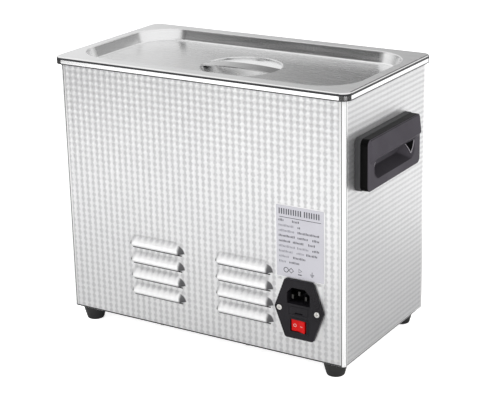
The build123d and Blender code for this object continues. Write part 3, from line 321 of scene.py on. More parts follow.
def winding_copper():
    """Enamelled wire wound round the bobbin, one ring of turns above another, each turn coloured dark to
    bright as painted highlight and shade.
    """
    made, graph, shader, where = new_material("winding_copper")
    up = graph.parts(where)[2]
    turns = graph.math("SINE", graph.times(up, 2 * math.pi / WIRE_PITCH))
    drift = graph.noise(where, 400.0, 3.0)
    # painted highlight and shade across each round turn
    lit = graph.spread(turns, -1.0, 1.0, 0.0, 1.0)
    tone = graph.blend(lit, colour(0.32, 0.09, 0.03), colour(0.8, 0.34, 0.14))
    final = graph.blend(graph.spread(drift, 0.3, 0.7, 0.0, 0.25), tone, colour(0.6, 0.3, 0.1))
    graph.wire(final, shader, "Base Color")
    graph.wire(graph.spread(drift, 0.3, 0.7, 0.22, 0.36), shader, "Roughness")
    graph.bump(shader, turns, 0.6, 0.0003)
    shader.inputs["Metallic"].default_value = 0.85
    return made


def lid_steel():
    """Drawn sheet: satin on the level flange, brighter in the sunk part, polished on the rolled rim."""
    made, graph, shader, where = new_material("lid_steel")
    parts = graph.parts(where)
    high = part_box("lid")[1]
    flange = graph.rise(parts[2], high[2] - 1.2 * MM, high[2] - 0.2 * MM)
    sunk = graph.fall(parts[2], high[2] - 11.4 * MM, high[2] - 9.0 * MM)
    edges = [graph.minus(graph.math("ABSOLUTE", parts[axis]), high[axis] - 2.2 * MM) for axis in (0, 1)]
    rim = graph.rise(graph.math("MAXIMUM", *edges), -0.4 * MM, 0.6 * MM)
    brush = graph.noise(where, 500.0, 4.0, 0.6, (0.03, 1.0, 1.0))
    drift = graph.noise(where, 14.0, 3.0)
    tone = graph.blend(graph.contrast(drift), colour(0.83, 0.83, 0.832), colour(0.89, 0.89, 0.892))
    fine = graph.blend(graph.times(sunk, brush), WHITE, colour(0.93, 0.93, 0.93))
    graph.wire(graph.blend(1.0, tone, fine, "MULTIPLY"), shader, "Base Color")
    wall = graph.spread(brush, 0.3, 0.7, 0.20, 0.27)
    level = graph.plus(graph.plus(wall, graph.times(flange, 0.20)), graph.times(sunk, 0.02))
    polished = graph.spread(brush, 0.3, 0.7, 0.08, 0.13)
    lift = graph.times(rim, graph.minus(polished, level))
    graph.wire(graph.plus(level, lift), shader, "Roughness")
    graph.bump(shader, brush, 0.05, 0.0002)
    shader.inputs["Metallic"].default_value = 1.0
    return made


def pale_floor():
    """White paper sweep that the camera sees a little overexposed, as in a lit product studio."""
    even = dict(vary=0.01, vary_scale=4.0, grain_tint=0.01, grain_bump=0.01)
    made = surface("floor", (0.93, 0.93, 0.93), 0.75, **even)
    graph = Graph(made.node_tree)
    shader = made.node_tree.nodes["Principled BSDF"]
    shader.inputs["Emission Color"].default_value = WHITE
    seen = graph.put("ShaderNodeLightPath").outputs["Is Camera Ray"]
    graph.wire(graph.spread(seen, 0.0, 1.0, 0.35, 0.75), shader, "Emission Strength")
    return made


STEEL = dict(metallic=1.0, vary=0.03, vary_scale=12.0, grain_tint=0.04)
BRUSHED_X = (0.04, 1.0, 1.0)
UPRIGHT = (1.0, 1.0, 0.05)
# name: colour, roughness, and what differs from an ordinary surface
SURFACES = {
    "plain_shell": ((0.92, 0.92, 0.922), 0.38, dict(grain_stretch=BRUSHED_X, **STEEL)),
    "bar_steel": ((0.8, 0.8, 0.8), 0.17, dict(grain_stretch=BRUSHED_X, **STEEL)),
    "tank_steel": ((0.78, 0.78, 0.785), 0.2, dict(grain_stretch=(1.0, 1.0, 0.04), **STEEL)),
    # dark strips laid where shade falls: painted shade under the louvres, at the bends, along the foot and
    # on the lid's edge
    "painted_shade_strips": (
        (0.035, 0.035, 0.037), 0.45,
        dict(metallic=0.3, vary=0.2, grain_scale=600.0, Specular_IOR_Level=0.3),
    ),
    "bend_band": ((0.93, 0.93, 0.932), 0.42, dict(metallic=0.45, grain_stretch=UPRIGHT, vary=0.03)),
    "seal_rubber": ((0.03, 0.03, 0.03), 0.6, dict(vary=0.15, grain_bump=0.15)),
    "foot_rubber": ((0.012, 0.012, 0.012), 0.55, dict(vary=0.2, grain_bump=0.25, speck=0.06)),
    "hose_rubber": ((0.45, 0.45, 0.43), 0.4, dict(vary=0.1, grain_bump=0.05, Transmission_Weight=0.15)),
    "base_plastic": ((0.040, 0.040, 0.042), 0.6, dict(vary=0.1, grain_scale=1500.0, grain_bump=0.2)),
    "inlet_plastic": (
        (0.011, 0.010, 0.0125), 0.3,
        dict(vary=0.2, grain_scale=1200.0, grain_bump=0.05, Specular_IOR_Level=0.2),
    ),
    "drawer_plastic": (
        (0.011, 0.010, 0.0125), 0.35,
        dict(vary=0.2, grain_scale=1600.0, grain_bump=0.12, Specular_IOR_Level=0.2),
    ),
    "rocker_red": (
        (0.52, 0.004, 0.004), 0.35,
        dict(vary=0.06, grain_scale=700.0, grain_bump=0.03, Specular_IOR_Level=0.12),
    ),
    "mark_white": ((0.55, 0.42, 0.4), 0.45, dict(vary=0.04, grain_tint=0.06)),
    "nickel": ((0.74, 0.72, 0.69), 0.22, dict(metallic=1.0, vary=0.05, grain_bump=0.06)),
    # inlet pins coloured near black as painted shade inside the inlet
    "inlet_pins_painted_shade": ((0.07, 0.068, 0.066), 0.35, dict(metallic=1.0, vary=0.1, grain_bump=0.05)),
    "bright_pin": ((0.86, 0.85, 0.82), 0.14, dict(metallic=1.0, vary=0.03, grain_bump=0.03)),
    "lever_steel": ((0.7, 0.7, 0.7), 0.28, dict(metallic=1.0, grain_stretch=UPRIGHT)),
    "label_film": ((0.485, 0.48, 0.52), 0.42, dict(vary=0.03, grain_tint=0.03, grain_bump=0.03)),
    "label_ink": ((0.045, 0.045, 0.055), 0.5, dict(vary=0.25, vary_scale=900.0, grain_tint=0.1)),
    "label_dim_ink": ((0.21, 0.21, 0.235), 0.5, dict(vary=0.3, vary_scale=900.0, grain_tint=0.1)),
    "overlay_film": ((0.02, 0.045, 0.11), 0.35, dict(vary=0.1, grain_bump=0.06, speck=0.05)),
    "overlay_print": ((0.72, 0.76, 0.8), 0.4, dict(vary=0.04, grain_tint=0.04)),
    "display_window": ((0.02, 0.004, 0.004), 0.08, dict(vary=0.2, Coat_Weight=0.6)),
    "display_lit": (
        (0.9, 0.06, 0.03), 0.4,
        dict(vary=0.05, Emission_Color=colour(1.0, 0.08, 0.04), Emission_Strength=1.6),
    ),
    "display_dim": ((0.06, 0.012, 0.01), 0.3, dict(vary=0.2)),
    # painted shade for the deep end of each handle opening, and painted highlight on the edges framing it
    "web_painted_shade": ((0.003, 0.003, 0.0035), 0.5, dict(vary=0.2, grain_bump=0.1, Specular_IOR_Level=0.03)),
    "web_painted_highlight": ((0.36, 0.34, 0.37), 0.3, dict(vary=0.05, grain_bump=0.04)),
    "lamp_green": ((0.05, 0.5, 0.12), 0.2, dict(vary=0.1, Coat_Weight=0.5)),
    "button_plastic": ((0.75, 0.77, 0.78), 0.4, dict(vary=0.03, grain_bump=0.08)),
    "button_mark": ((0.03, 0.06, 0.14), 0.45, dict(vary=0.1)),
    "component": ((0.014, 0.014, 0.015), 0.4, dict(vary=0.2, speck=0.15, speck_scale=1800.0)),
    "switch_body": ((0.02, 0.02, 0.022), 0.35, dict(vary=0.2, speck=0.1)),
    "capacitor": ((0.02, 0.03, 0.09), 0.3, dict(vary=0.15, grain_stretch=(1.0, 1.0, 0.1))),
    "terminal_plastic": ((0.5, 0.5, 0.46), 0.45, dict(vary=0.08, grain_bump=0.08)),
    "aluminium": ((0.76, 0.77, 0.78), 0.38, dict(metallic=1.0, vary=0.06, grain_bump=0.12)),
    "zinc_standoff": ((0.66, 0.64, 0.58), 0.3, dict(metallic=1.0, vary=0.06)),
    "mass_steel": ((0.5, 0.49, 0.47), 0.34, dict(metallic=1.0, grain_stretch=(1.0, 1.0, 20.0), vary=0.1)),
    "piezo_ceramic": ((0.42, 0.36, 0.26), 0.6, dict(vary=0.1, speck=0.2, speck_scale=1500.0)),
    "ferrite": ((0.035, 0.033, 0.032), 0.62, dict(vary=0.2, grain_bump=0.2, speck=0.25)),
    "heater_film": ((0.5, 0.13, 0.05), 0.45, dict(vary=0.2, vary_scale=120.0, grain_bump=0.1)),
    "wire_blue_brown": ((0.16, 0.06, 0.03), 0.42, dict(vary=0.15, grain_bump=0.06)),
    "wire_green": ((0.3, 0.5, 0.05), 0.42, dict(vary=0.15, grain_bump=0.06)),
    "fuse_glass": ((0.85, 0.87, 0.86), 0.06, dict(vary=0.03, Transmission_Weight=0.6)),
    "sensor_epoxy": ((0.35, 0.34, 0.3), 0.35, dict(vary=0.15, grain_bump=0.1)),
    "flag_black": ((0.02, 0.02, 0.02), 0.9, dict(vary=0.1, grain_bump=0.1)),
    "flag_grey": ((0.64, 0.64, 0.64), 0.9, dict(vary=0.05, grain_bump=0.1)),
}


def make_materials():
    made = {name: surface(name, base, rough, **more) for name, (base, rough, more) in SURFACES.items()}
    made["rear_embossing"] = embossed_steel("rear_embossing", 0, REAR_LATTICE, *REAR_STEEL, louvred=True)
    made["side_embossing"] = embossed_steel("side_embossing", 1, SIDE_LATTICE, *SIDE_STEEL)
    made["lid_steel"] = lid_steel()
    made["grip_plastic"] = grip_plastic()
    made["board_laminate"] = board_laminate()
    made["winding"] = winding_copper()
    made["floor"] = pale_floor()
    return made


# the CAD nodes that wear each finish; plated hardware wears nickel
FINISH_NODES = {
    "plain_shell": "housing front_panel bottom_plate",
    "tank_steel": "tank",
    "seal_rubber": "rim_seal",
    "lid_steel": "lid",
    "bar_steel": "lid_bar",
    "base_plastic": "handle_base_left handle_base_right",
    "grip_plastic": "handle_grip_left handle_grip_right",
    "foot_rubber": "foot_front_left foot_front_right foot_rear_left foot_rear_right",
    "inlet_pins_painted_shade": "inlet_pins",
    "inlet_plastic": "inlet_body",
    "bright_pin": "inlet_screws",
    "drawer_plastic": "fuse_drawer",
    "fuse_glass": "fuse",
    "rocker_red": "power_rocker",
    "label_film": "rating_label",
    "overlay_film": "control_overlay",
    "display_window": "displays",
    "lamp_green": "indicator_lamps",
    "board_laminate": "control_board generator_board",
    "switch_body": "tact_switches",
    "zinc_standoff": "board_standoffs",
    "aluminium": "heatsink front_masses",
    "component": "power_transistors",
    "ferrite": "transformer_core",
    "winding": "transformer_coil",
    "capacitor": "capacitors",
    "terminal_plastic": "terminal_block",
    "wire_blue_brown": "mains_wires",
    "wire_green": "earth_wire",
    "piezo_ceramic": "piezo_rings",
    "mass_steel": "back_masses",
    "heater_film": "heaters",
    "sensor_epoxy": "temperature_sensor",
    "hose_rubber": "drain_hose",
    "lever_steel": "drain_lever",
    "button_plastic": (
        "button_power button_time_up button_time_down button_heat_up button_heat_down button_start"
    ),
}
NODE_FINISH = {node: finish for finish, nodes in FINISH_NODES.items() for node in nodes.split()}


def finish_nodes(materials):
    """Every CAD node gets its finish in each of its slots; plated hardware is the rest."""
    for name, node in NODES.items():
        finish = materials[NODE_FINISH.get(name, "nickel")]
        for index in range(len(node.data.materials)):
            node.data.materials[index] = finish


# ---- mesh helpers


def mesh_piece(name, points, faces, material, body, slot, smooth=False):
    mesh = bpy.data.meshes.new(name)
    mesh.from_pydata([tuple(point) for point in points], [], [tuple(face) for face in faces])
    mesh.update()
    made = bpy.data.objects.new(name, mesh)
    bpy.context.scene.collection.objects.link(made)
    mesh.materials.append(material)
    if smooth:
        mesh.shade_smooth()
    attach(made, body)
    return made


# how far a printed mark is sunk into the surface under it, and how far it stands proud
PRINT_SINK = -0.05 * MM
PRINT_STAND = 0.06 * MM
# axes of a wall's marks: across, up and outward
FRONT_AXES = ((1, 0, 0), (0, 0, 1), (0, -1, 0))
LABEL_AXES = ((-1, 0, 0), (0, 0, 1), (0, 1, 0))
REAR_AXES = ((1, 0, 0), (0, 0, 1), (0, 1, 0))


class Solids:
    """Closed outlines raised from a plane, gathered into one mesh."""

    def __init__(self, origin, axes):
        self.origin = Vector(origin)
        self.across, self.up, self.outward = (Vector(axis) for axis in axes)
        self.points = []
        self.faces = []

    def place(self, u, v, w):
        return self.origin + self.across * u + self.up * v + self.outward * w

    def prism(self, outline, low=PRINT_SINK, high=PRINT_STAND):
        """outline goes round once, as (u, v); the prism stands from low to high."""
        start = len(self.points)
        count = len(outline)
        self.points += [self.place(u, v, low) for u, v in outline]
        self.points += [self.place(u, v, high) for u, v in outline]
        self.faces.append([start + count + index for index in range(count)])
        self.faces.append([start + index for index in reversed(range(count))])
        for index in range(count):
            after = (index + 1) % count
            self.faces.append([start + index, start + after, start + count + after, start + count + index])

    def band(self, inner, outer, low=PRINT_SINK, high=PRINT_STAND, closed=True):
        """A ring, or an open arc, between two outlines with as many points each."""
        start = len(self.points)
        count = len(inner)
        for outline, level in ((inner, low), (outer, low), (inner, high), (outer, high)):
            self.points += [self.place(u, v, level) for u, v in outline]
        if not closed:
            for index in (0, count - 1):
                self.faces.append([start + row * count + index for row in (0, 1, 3, 2)])
        for index in range(count if closed else count - 1):
            after = (index + 1) % count
            for first, second in ((2, 3), (3, 1), (1, 0), (0, 2)):
                a, b = start + first * count, start + second * count
                self.faces.append([a + index, b + index, b + after, a + after])

    def ring(self, u, v, inner, outer, count=32):
        self.band(circle(u, v, inner, count), circle(u, v, outer, count))

    def box(self, u, v, width, height, low=PRINT_SINK, high=PRINT_STAND):
        half_w, half_h = width / 2, height / 2
        corners = ((-1, -1), (1, -1), (1, 1), (-1, 1))
        self.prism([(u + i * half_w, v + j * half_h) for i, j in corners], low, high)

    def make(self, name, material, body, slot):
        made = mesh_piece(name, self.points, self.faces, material, body, slot)
        work = bmesh.new()
        work.from_mesh(made.data)
        bmesh.ops.recalc_face_normals(work, faces=work.faces)
        work.to_mesh(made.data)
        work.free()
        return made


def circle(u, v, radius, count=32, start=0.0, sweep=2 * math.pi):
    steps = count if sweep >= 2 * math.pi else count - 1
    return [
        (u + radius * math.cos(start + sweep * i / steps), v + radius * math.sin(start + sweep * i / steps))
        for i in range(count)
    ]


# ---- embossed panels

SAMPLES = 6
EMBOSS_BASE = 0.04 * MM
BURIED = 0.45 * MM
FADE = 1.1 * MM


def eased(share):
    share = np.clip(share, 0.0, 1.0)
    return share * share * (3 - 2 * share)


def rectangle_distance(u, v, box):
    """Distance outside a rectangle (u0, v0, u1, v1) with round corners; negative inside."""
    u0, v0, u1, v1, corner = box
    du = np.abs(u - (u0 + u1) / 2) - (u1 - u0) / 2 + corner
    dv = np.abs(v - (v0 + v1) / 2) - (v1 - v0) / 2 + corner
    outside = np.hypot(np.maximum(du, 0), np.maximum(dv, 0))
    return outside + np.minimum(np.maximum(du, dv), 0) - corner


def louvre_swell(u, v):
    """How far each louvre swells out of the rear wall: domed ends, a soft top and a level lip below."""
    swell = np.zeros_like(u)
    for middle in LOUVRE_COLUMNS:
        for row in LOUVRE_ROWS:
            above = v - (row - LOUVRE_LIP)
            past = np.abs(u - middle) - LOUVRE_LENGTH / 2
            drawn = past - LOUVRE_DRAW
            domed = np.hypot(np.maximum(drawn / LOUVRE_END + 1.0, 0.0), above / LOUVRE_FADE)
            soft = eased((1.0 - domed) / (1.0 - LOUVRE_FLAT))
            round_end = np.hypot(np.maximum(past + LOUVRE_TOP, 0.0), v - row)
            pressed = np.clip((LOUVRE_TOP + 0.4 * MM - round_end) * LOUVRE_SLOPE / LOUVRE_OUT, 0.0, 1.0)
            swell = np.maximum(swell, np.where(above >= 0, LOUVRE_OUT * np.maximum(soft, pressed), 0.0))
    return swell


def embossed_panel(
    name, axis, sign, plane, span, rise, lattice_form, depth, cut_outs, material, louvred=False
):
    """One wall's embossing: a raised lattice that sinks into the sheet at its edges and round fittings."""
    pitch_across, pitch_up, weight = lattice_form
    step_u, step_v = pitch_across / SAMPLES, pitch_up / SAMPLES
    first_u, last_u = math.floor(span[0] / step_u), math.ceil(span[1] / step_u)
    first_v = math.floor((rise[0] - LATTICE_CENTRE) / step_v)
    last_v = math.ceil((rise[1] - LATTICE_CENTRE) / step_v)
    u, v = np.meshgrid(np.arange(first_u, last_u + 1) * step_u, np.arange(first_v, last_v + 1) * step_v)
    columns_wave = np.cos(2 * np.pi * u / pitch_across)
    rows_wave = np.cos(2 * np.pi * v / pitch_up)
    lattice = weight * columns_wave + (1 - weight) * rows_wave
    v = v + LATTICE_CENTRE
    clear = -rectangle_distance(u, v, (span[0], rise[0], span[1], rise[1], 1.0 * MM))
    for cut_out in cut_outs:
        clear = np.minimum(clear, rectangle_distance(u, v, cut_out))
    shown = eased(clear / FADE)
    pads = eased((lattice + 0.75) / 1.5)
    height = shown * (EMBOSS_BASE + depth * pads) - (1 - shown) * BURIED
    keep = shown > 0
    quads = keep[:-1, :-1] | keep[1:, :-1] | keep[:-1, 1:] | keep[1:, 1:]
    if louvred:
        swell = louvre_swell(u, v)
        fainter = 1.0 - 0.65 * swell / LOUVRE_OUT
        height = (height - EMBOSS_BASE) * fainter + EMBOSS_BASE + swell
        for row in LOUVRE_ROWS:
            above = v - (row - LOUVRE_LIP)
            v = np.where((above >= 0) & (above < step_v) & (swell > 0.2 * MM), row - LOUVRE_LIP, v)
        quads &= swell[1:, :-1] + swell[1:, 1:] - swell[:-1, :-1] - swell[:-1, 1:] < 0.9 * LOUVRE_OUT
    rows, columns = u.shape
    index = np.arange(rows * columns).reshape(rows, columns)
    corners = np.stack([index[:-1, :-1], index[:-1, 1:], index[1:, 1:], index[1:, :-1]], axis=-1)[quads]
    used, renumbered = np.unique(corners, return_inverse=True)
    corners = renumbered.reshape(-1, 4)
    outward = plane + sign * height.ravel()[used]
    along = u.ravel()[used]
    upward = v.ravel()[used]
    points = np.stack([along, outward, upward] if axis == 1 else [outward, along, upward], axis=-1)
    if (axis == 1) == (sign > 0):
        corners = corners[:, ::-1]
    points, corners = points.tolist(), corners.tolist()
    return mesh_piece(name, points, corners, material, *HOUSING, smooth=True)


# the painted shadow strip under each louvre: its middle below the lip, its height and how far it stands out
EDGE_DROP = 2.3 * MM
EDGE_HEIGHT = 1.1 * MM
EDGE_STAND = 0.4 * MM


def node_cut_out(node, first, second, grow=0.0, corner=1.0 * MM):
    low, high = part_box(node)
    return (low[first] - grow, low[second] - grow, high[first] + grow, high[second] + grow, corner)


def embossed_walls(materials):
    """The embossing of the rear, the front frame and both ends, and the painted shadow strips under the
    louvres.
    """
    low, high = (Vector(corner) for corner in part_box("housing"))
    high.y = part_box("rating_label")[0].y
    low.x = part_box("handle_base_left")[1].x
    high.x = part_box("handle_base_right")[0].x
    bend = 4.6 * MM
    top = high[2] - 0.6 * MM
    bottom = low[2] + 1.2 * MM
    rear_cuts = [
        node_cut_out("rating_label", 0, 2, 0.2 * MM),
        node_cut_out("inlet_body", 0, 2, -3.0 * MM),
    ]
    embossed_panel(
        "embossing_rear", 1, 1, high[1], (low[0] + bend, high[0] - bend), (bottom, top),
        REAR_LATTICE, REAR_DEPTH, rear_cuts, materials["rear_embossing"], louvred=True,
    )
    # painted shadow: a dark strip on the wall just under each louvre's lip
    edges = Solids((0, high[1], 0), REAR_AXES)
    for middle in LOUVRE_COLUMNS:
        for row in LOUVRE_ROWS:
            level = row - LOUVRE_LIP - EDGE_DROP
            edges.box(middle, level, LOUVRE_LENGTH - 3.0 * MM, EDGE_HEIGHT, high=EDGE_STAND)
    edges.make("louvre_lip_shadows", materials["painted_shade_strips"], *HOUSING)
    front_low, front_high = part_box("front_panel")
    front_span = (front_low[0] + bend, front_high[0] - bend)
    front_rise = (front_low[2] + 1.5 * MM, front_high[2] - 1.5 * MM)
    front_cuts = [node_cut_out("control_overlay", 0, 2, -3.0 * MM)]
    embossed_panel(
        "embossing_front", 1, -1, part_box("control_overlay")[1].y, front_span, front_rise,
        REAR_LATTICE, REAR_DEPTH, front_cuts, materials["rear_embossing"],
    )
    side_span = (low[1] + 2.0 * MM, high[1] - bend)
    for side, sign in (("left", -1), ("right", 1)):
        cuts = [node_cut_out(f"handle_base_{side}", 1, 2, -3.0 * MM)]
        if side == "right":
            cuts.append(node_cut_out("drain_valve", 1, 2, 0.5 * MM))
        embossed_panel(
            f"embossing_{side}", 0, sign, high[0] if sign > 0 else low[0], side_span, (bottom, top),
            SIDE_LATTICE, SIDE_DEPTH, cuts, materials["side_embossing"],
        )


# ---- studio


def studio_world():
    """White room with a few soft grey zones for the steel to mirror; white where seen directly."""
    world = bpy.data.worlds.new("studio")
    world.use_nodes = True
    bpy.context.scene.world = world
    graph = Graph(world.node_tree)
    background = world.node_tree.nodes["Background"]
    towards = graph.put("ShaderNodeTexCoord").outputs["Generated"]
    parts = graph.parts(towards)
    azimuth = graph.math("ARCTAN2", parts[1], parts[0])
    light = None
    for middle, half, soft, low, high, drop in STUDIO_ZONES:
        turn = graph.minus(azimuth, math.radians(middle))
        wrapped = graph.math("ABSOLUTE", graph.math("WRAP", turn, math.pi, -math.pi))
        inside = graph.fall(wrapped, math.radians(half), math.radians(half + soft))
        above = graph.rise(parts[2], low - 0.03, low + 0.03)
        below = graph.fall(parts[2], high - 0.12, high + 0.12)
        zone = graph.times(graph.times(inside, above), below)
        level = graph.minus(1.0, graph.times(zone, drop))
        light = level if light is None else graph.times(light, level)
    seen = graph.put("ShaderNodeLightPath").outputs["Is Camera Ray"]
    strength = graph.plus(graph.times(light, graph.minus(1.0, seen)), seen)
    graph.wire(strength, background, "Strength")
    background.inputs["Color"].default_value = WHITE


# azimuth of the middle, half width, softness (degrees); lowest and highest z of the direction; darkening
STUDIO_ZONES = (
    (60.0, 5.0, 11.0, -0.05, 0.86, 0.97),
    (230.0, 5.0, 12.0, 0.02, 0.55, 0.72),
    (285.0, 12.0, 14.0, 0.02, 0.60, 0.80),
    (100.0, 118.0, 8.0, -0.3, 0.12, 0.95),
    (268.0, 18.0, 6.0, -0.3, 0.05, 0.9),
)
# flags: first and last azimuth (degrees), nearest and farthest distance, material
FLAGS = (
    (-60.0, 45.0, 0.95, 4.5, "flag_black"),
    (45.0, 88.0, 1.35, 4.5, "flag_black"),
    (88.0, 215.0, 0.97, 4.5, "flag_black"),
    (250.0, 288.0, 1.0, 4.5, "flag_black"),
)
MAT_HALF = (0.60, 0.34)
FLOOR_REACH = 6.0


def area_light(name, at, towards, size, power):
    data = bpy.data.lights.new(name, "AREA")
    data.shape = "RECTANGLE"
    data.size, data.size_y = size
    data.energy = power
    made = bpy.data.objects.new(name, data)
    made.matrix_world = Matrix.Translation(at) @ (
        (Vector(towards) - Vector(at)).to_track_quat("-Z", "Y").to_matrix().to_4x4()
    )
    made.visible_glossy = False
    bpy.context.scene.collection.objects.link(made)
    return made


def reflected_only(name, points, faces, material):
    """A cloth lying on the floor that only the steel's reflections show."""
    mesh = bpy.data.meshes.new(name)
    mesh.from_pydata(points, [], faces)
    mesh.materials.append(material)
    made = bpy.data.objects.new(name, mesh)
    bpy.context.scene.collection.objects.link(made)
    made.visible_camera = False
    made.visible_diffuse = False
    made.visible_shadow = False


def floor_flag(name, start, end, near, far, material):
    steps = 24
    turns = [math.radians(start + (end - start) * index / steps) for index in range(steps + 1)]
    points = [
        (radius * math.cos(turn), radius * math.sin(turn), MM) for radius in (near, far) for turn in turns
    ]
    faces = [(index, index + 1, index + steps + 2, index + steps + 1) for index in range(steps)]
    reflected_only(name, points, faces, material)


def sheet_corners(half_x, half_y, level):
    return [(i * half_x, j * half_y, level) for i, j in ((-1, -1), (1, -1), (1, 1), (-1, 1))]


def make_studio(materials):
    studio_world()
    floor = bpy.data.meshes.new("floor")
    floor.from_pydata(sheet_corners(FLOOR_REACH, FLOOR_REACH, 0.0), [], [(0, 1, 2, 3)])
    made = bpy.data.objects.new("floor", floor)
    floor.materials.append(materials["floor"])
    bpy.context.scene.collection.objects.link(made)
    for index, (start, end, near, far, finish) in enumerate(FLAGS):
        floor_flag(f"floor_flag_{index}", start, end, near, far, materials[finish])
    reflected_only("floor_mat", sheet_corners(*MAT_HALF, MM), [(0, 1, 2, 3)], materials["flag_grey"])
    area_light("key", (0.9, 1.5, 1.6), (0, 0, 0.12), (1.2, 1.2), 16)
    area_light("fill", (-1.7, 0.5, 1.2), (0, 0, 0.12), (1.2, 1.2), 12)
    bpy.context.scene.view_settings.view_transform = "Standard"


# ---- surface details

def surface_spot(node, start, direction):
    """Where a straight line from start first meets a CAD node at rest: (place, normal)."""
    hit, place, normal, _ = NODES[node].ray_cast(Vector(start), Vector(direction))
    if not hit:
        raise RuntimeError(f"no surface of {node} there")
    return place, normal


# start and end of each greeked word on the label's lines, mm from the left margin
LABEL_WORDS = (
    ((0.0, 5.8), (14.3, 22.1)),
    ((0.0, 16.2), (20.1, 23.4)),
    ((0.0, 16.9), (20.1, 43.1)),
    ((0.0, 17.5), (20.0, 31.2), (35.5, 43.1)),
    ((0.0, 12.5), (15.0, 26.6), (31.2, 38.7)),
    ((0.0, 17.5), (19.5, 31.8), (35.5, 43.1)),
    ((0.0, 15.0), (18.8, 27.0), (29.0, 41.0)),
    ((0.0, 11.0), (15.0, 28.6)),
    ((0.0, 7.8), (11.0, 22.0)),
)
LABEL_FIRST_LINE = 14.7 * MM
LABEL_LINE_PITCH = 5.05 * MM
LABEL_MARGIN = 2.4 * MM
# the heading's blocks: how many, which one begins the second group, their pitch and size
HEADING_BLOCKS = 17
SECOND_GROUP = 10
GROUP_GAP = 1.6 * MM
BLOCK_PITCH = 2.5 * MM
BLOCK_SIZE = (1.1 * MM, 5.6 * MM)
LETTER_WIDTH = 1.45
LETTER_HEIGHTS = (1.9, 2.3, 1.7, 2.2, 1.8)


def label_marks(materials):
    """Greeked heading, rule and text lines, with three generic symbols under them."""
    low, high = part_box("rating_label")
    centre = ((low[0] + high[0]) / 2, high[1], (low[2] + high[2]) / 2)
    left, top = -(high[0] - low[0]) / 2 + LABEL_MARGIN, (high[2] - low[2]) / 2
    dark = Solids(centre, LABEL_AXES)
    faint = Solids(centre, LABEL_AXES)
    for block in range(HEADING_BLOCKS):
        gap = GROUP_GAP if block >= SECOND_GROUP else 0.0
        dark.box(left + MM + block * BLOCK_PITCH + gap, top - 5.9 * MM, *BLOCK_SIZE)
    dark.box(0.2 * MM, top - 11.5 * MM, 44.0 * MM, 0.5 * MM)
    row = top - LABEL_FIRST_LINE
    for index, words in enumerate(LABEL_WORDS):
        ink = dark if index in (0, 3, 4) else faint
        for number, (start, end) in enumerate(words):
            letters = max(2, round((end - start) / LETTER_WIDTH))
            pitch = (end - start) * MM / letters
            target = dark if number == len(words) - 1 else ink
            for letter in range(letters):
                tall = LETTER_HEIGHTS[(letter * 3 + index + number) % 5] * MM
                middle = left + start * MM + (letter + 0.4) * pitch
                target.box(middle, row - MM + tall / 2, pitch * 0.5, tall)
        row -= LABEL_LINE_PITCH
    symbols = -top + 6.9 * MM
    dark.ring(-15 * MM, symbols, 2.0 * MM, 2.7 * MM)
    dark.ring(-9.6 * MM, symbols, 2.0 * MM, 2.8 * MM, 4)
    faint.ring(-0.4 * MM, symbols + 1.2 * MM, 1.5 * MM, 2.6 * MM, 3)
    dark.box(-0.4 * MM, symbols - 2.6 * MM, 4.0 * MM, 0.9 * MM)
    for index, wide in enumerate((4.4, 2.9, 1.4)):
        dark.box(12.6 * MM, symbols - (0.4 + index * 1.1) * MM, wide * MM, 0.5 * MM)
    dark.box(12.6 * MM, symbols + 1.0 * MM, 0.5 * MM, 2.6 * MM)
    dark.make("label_heading", materials["label_ink"], "cleaner", "label_film")
    faint.make("label_text_lines", materials["label_dim_ink"], "cleaner", "label_film")


def tangent_frame(normal, up):
    """Axes on a sloping face: (across, up, outward)."""
    outward = Vector(normal).normalized()
    across = Vector(up).cross(outward).normalized()
    return across, outward.cross(across), outward


def rocker_marks(materials):
    """The moulded circle and bar of a mains rocker, each on its half of the rocker's face."""
    low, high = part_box("power_rocker")
    middle_x, middle_z = (low[0] + high[0]) / 2, (low[2] + high[2]) / 2
    for name, offset in (("rocker_circle", 3.7 * MM), ("rocker_bar", -3.7 * MM)):
        start = (middle_x + offset, high[1] + 0.02, middle_z)
        place, normal = surface_spot("power_rocker", start, (0, -1, 0))
        mark = Solids(place, tangent_frame(normal, (0, 0, 1)))
        if name == "rocker_circle":
            mark.ring(0, 0, 1.2 * MM, 1.65 * MM)
        else:
            mark.box(0, 0, 2.6 * MM, 0.5 * MM)
        mark.make(name, materials["mark_white"], "power_rocker", "rocker_plastic")


# arms of a seven-segment digit: (u, v, upright) in units of half the digit's height
SEGMENTS = (
    (0.0, 1.0, False), (0.5, 0.5, True), (0.5, -0.5, True), (0.0, -1.0, False),
    (-0.5, -0.5, True), (-0.5, 0.5, True), (0.0, 0.0, False),
)
DIGITS = {0: (0, 1, 2, 3, 4, 5), 4: (5, 6, 1, 2), 5: (0, 5, 6, 2, 3)}
DISPLAY_CENTRE = 38.0 * MM
DIGIT_PITCH = 8.2 * MM
DIGIT_REACH = 5.0 * MM
OVERLAY_MARGIN = 2.2 * MM
BORDER_LINE = 0.5 * MM
# the overlay's rows, up from its middle: the framed windows, the status bars and the keys
WINDOW_LEVEL = 16.0 * MM
BARS_LEVEL = 11.0 * MM
KEYS_LEVEL = -17.0 * MM
BAR_PITCH = 8.0 * MM
KEY_PITCH = 23.0 * MM


def segment(solids, u, v, reach, upright):
    """One pointed arm of a digit, lying on its plane."""
    half, thick = reach * 0.42, reach * 0.11
    flat = half - thick
    outline = [(-half, 0), (-flat, thick), (flat, thick), (half, 0), (flat, -thick), (-flat, -thick)]
    if upright:
        outline = [(-b, a) for a, b in outline]
    solids.prism([(u + a, v + b) for a, b in outline])


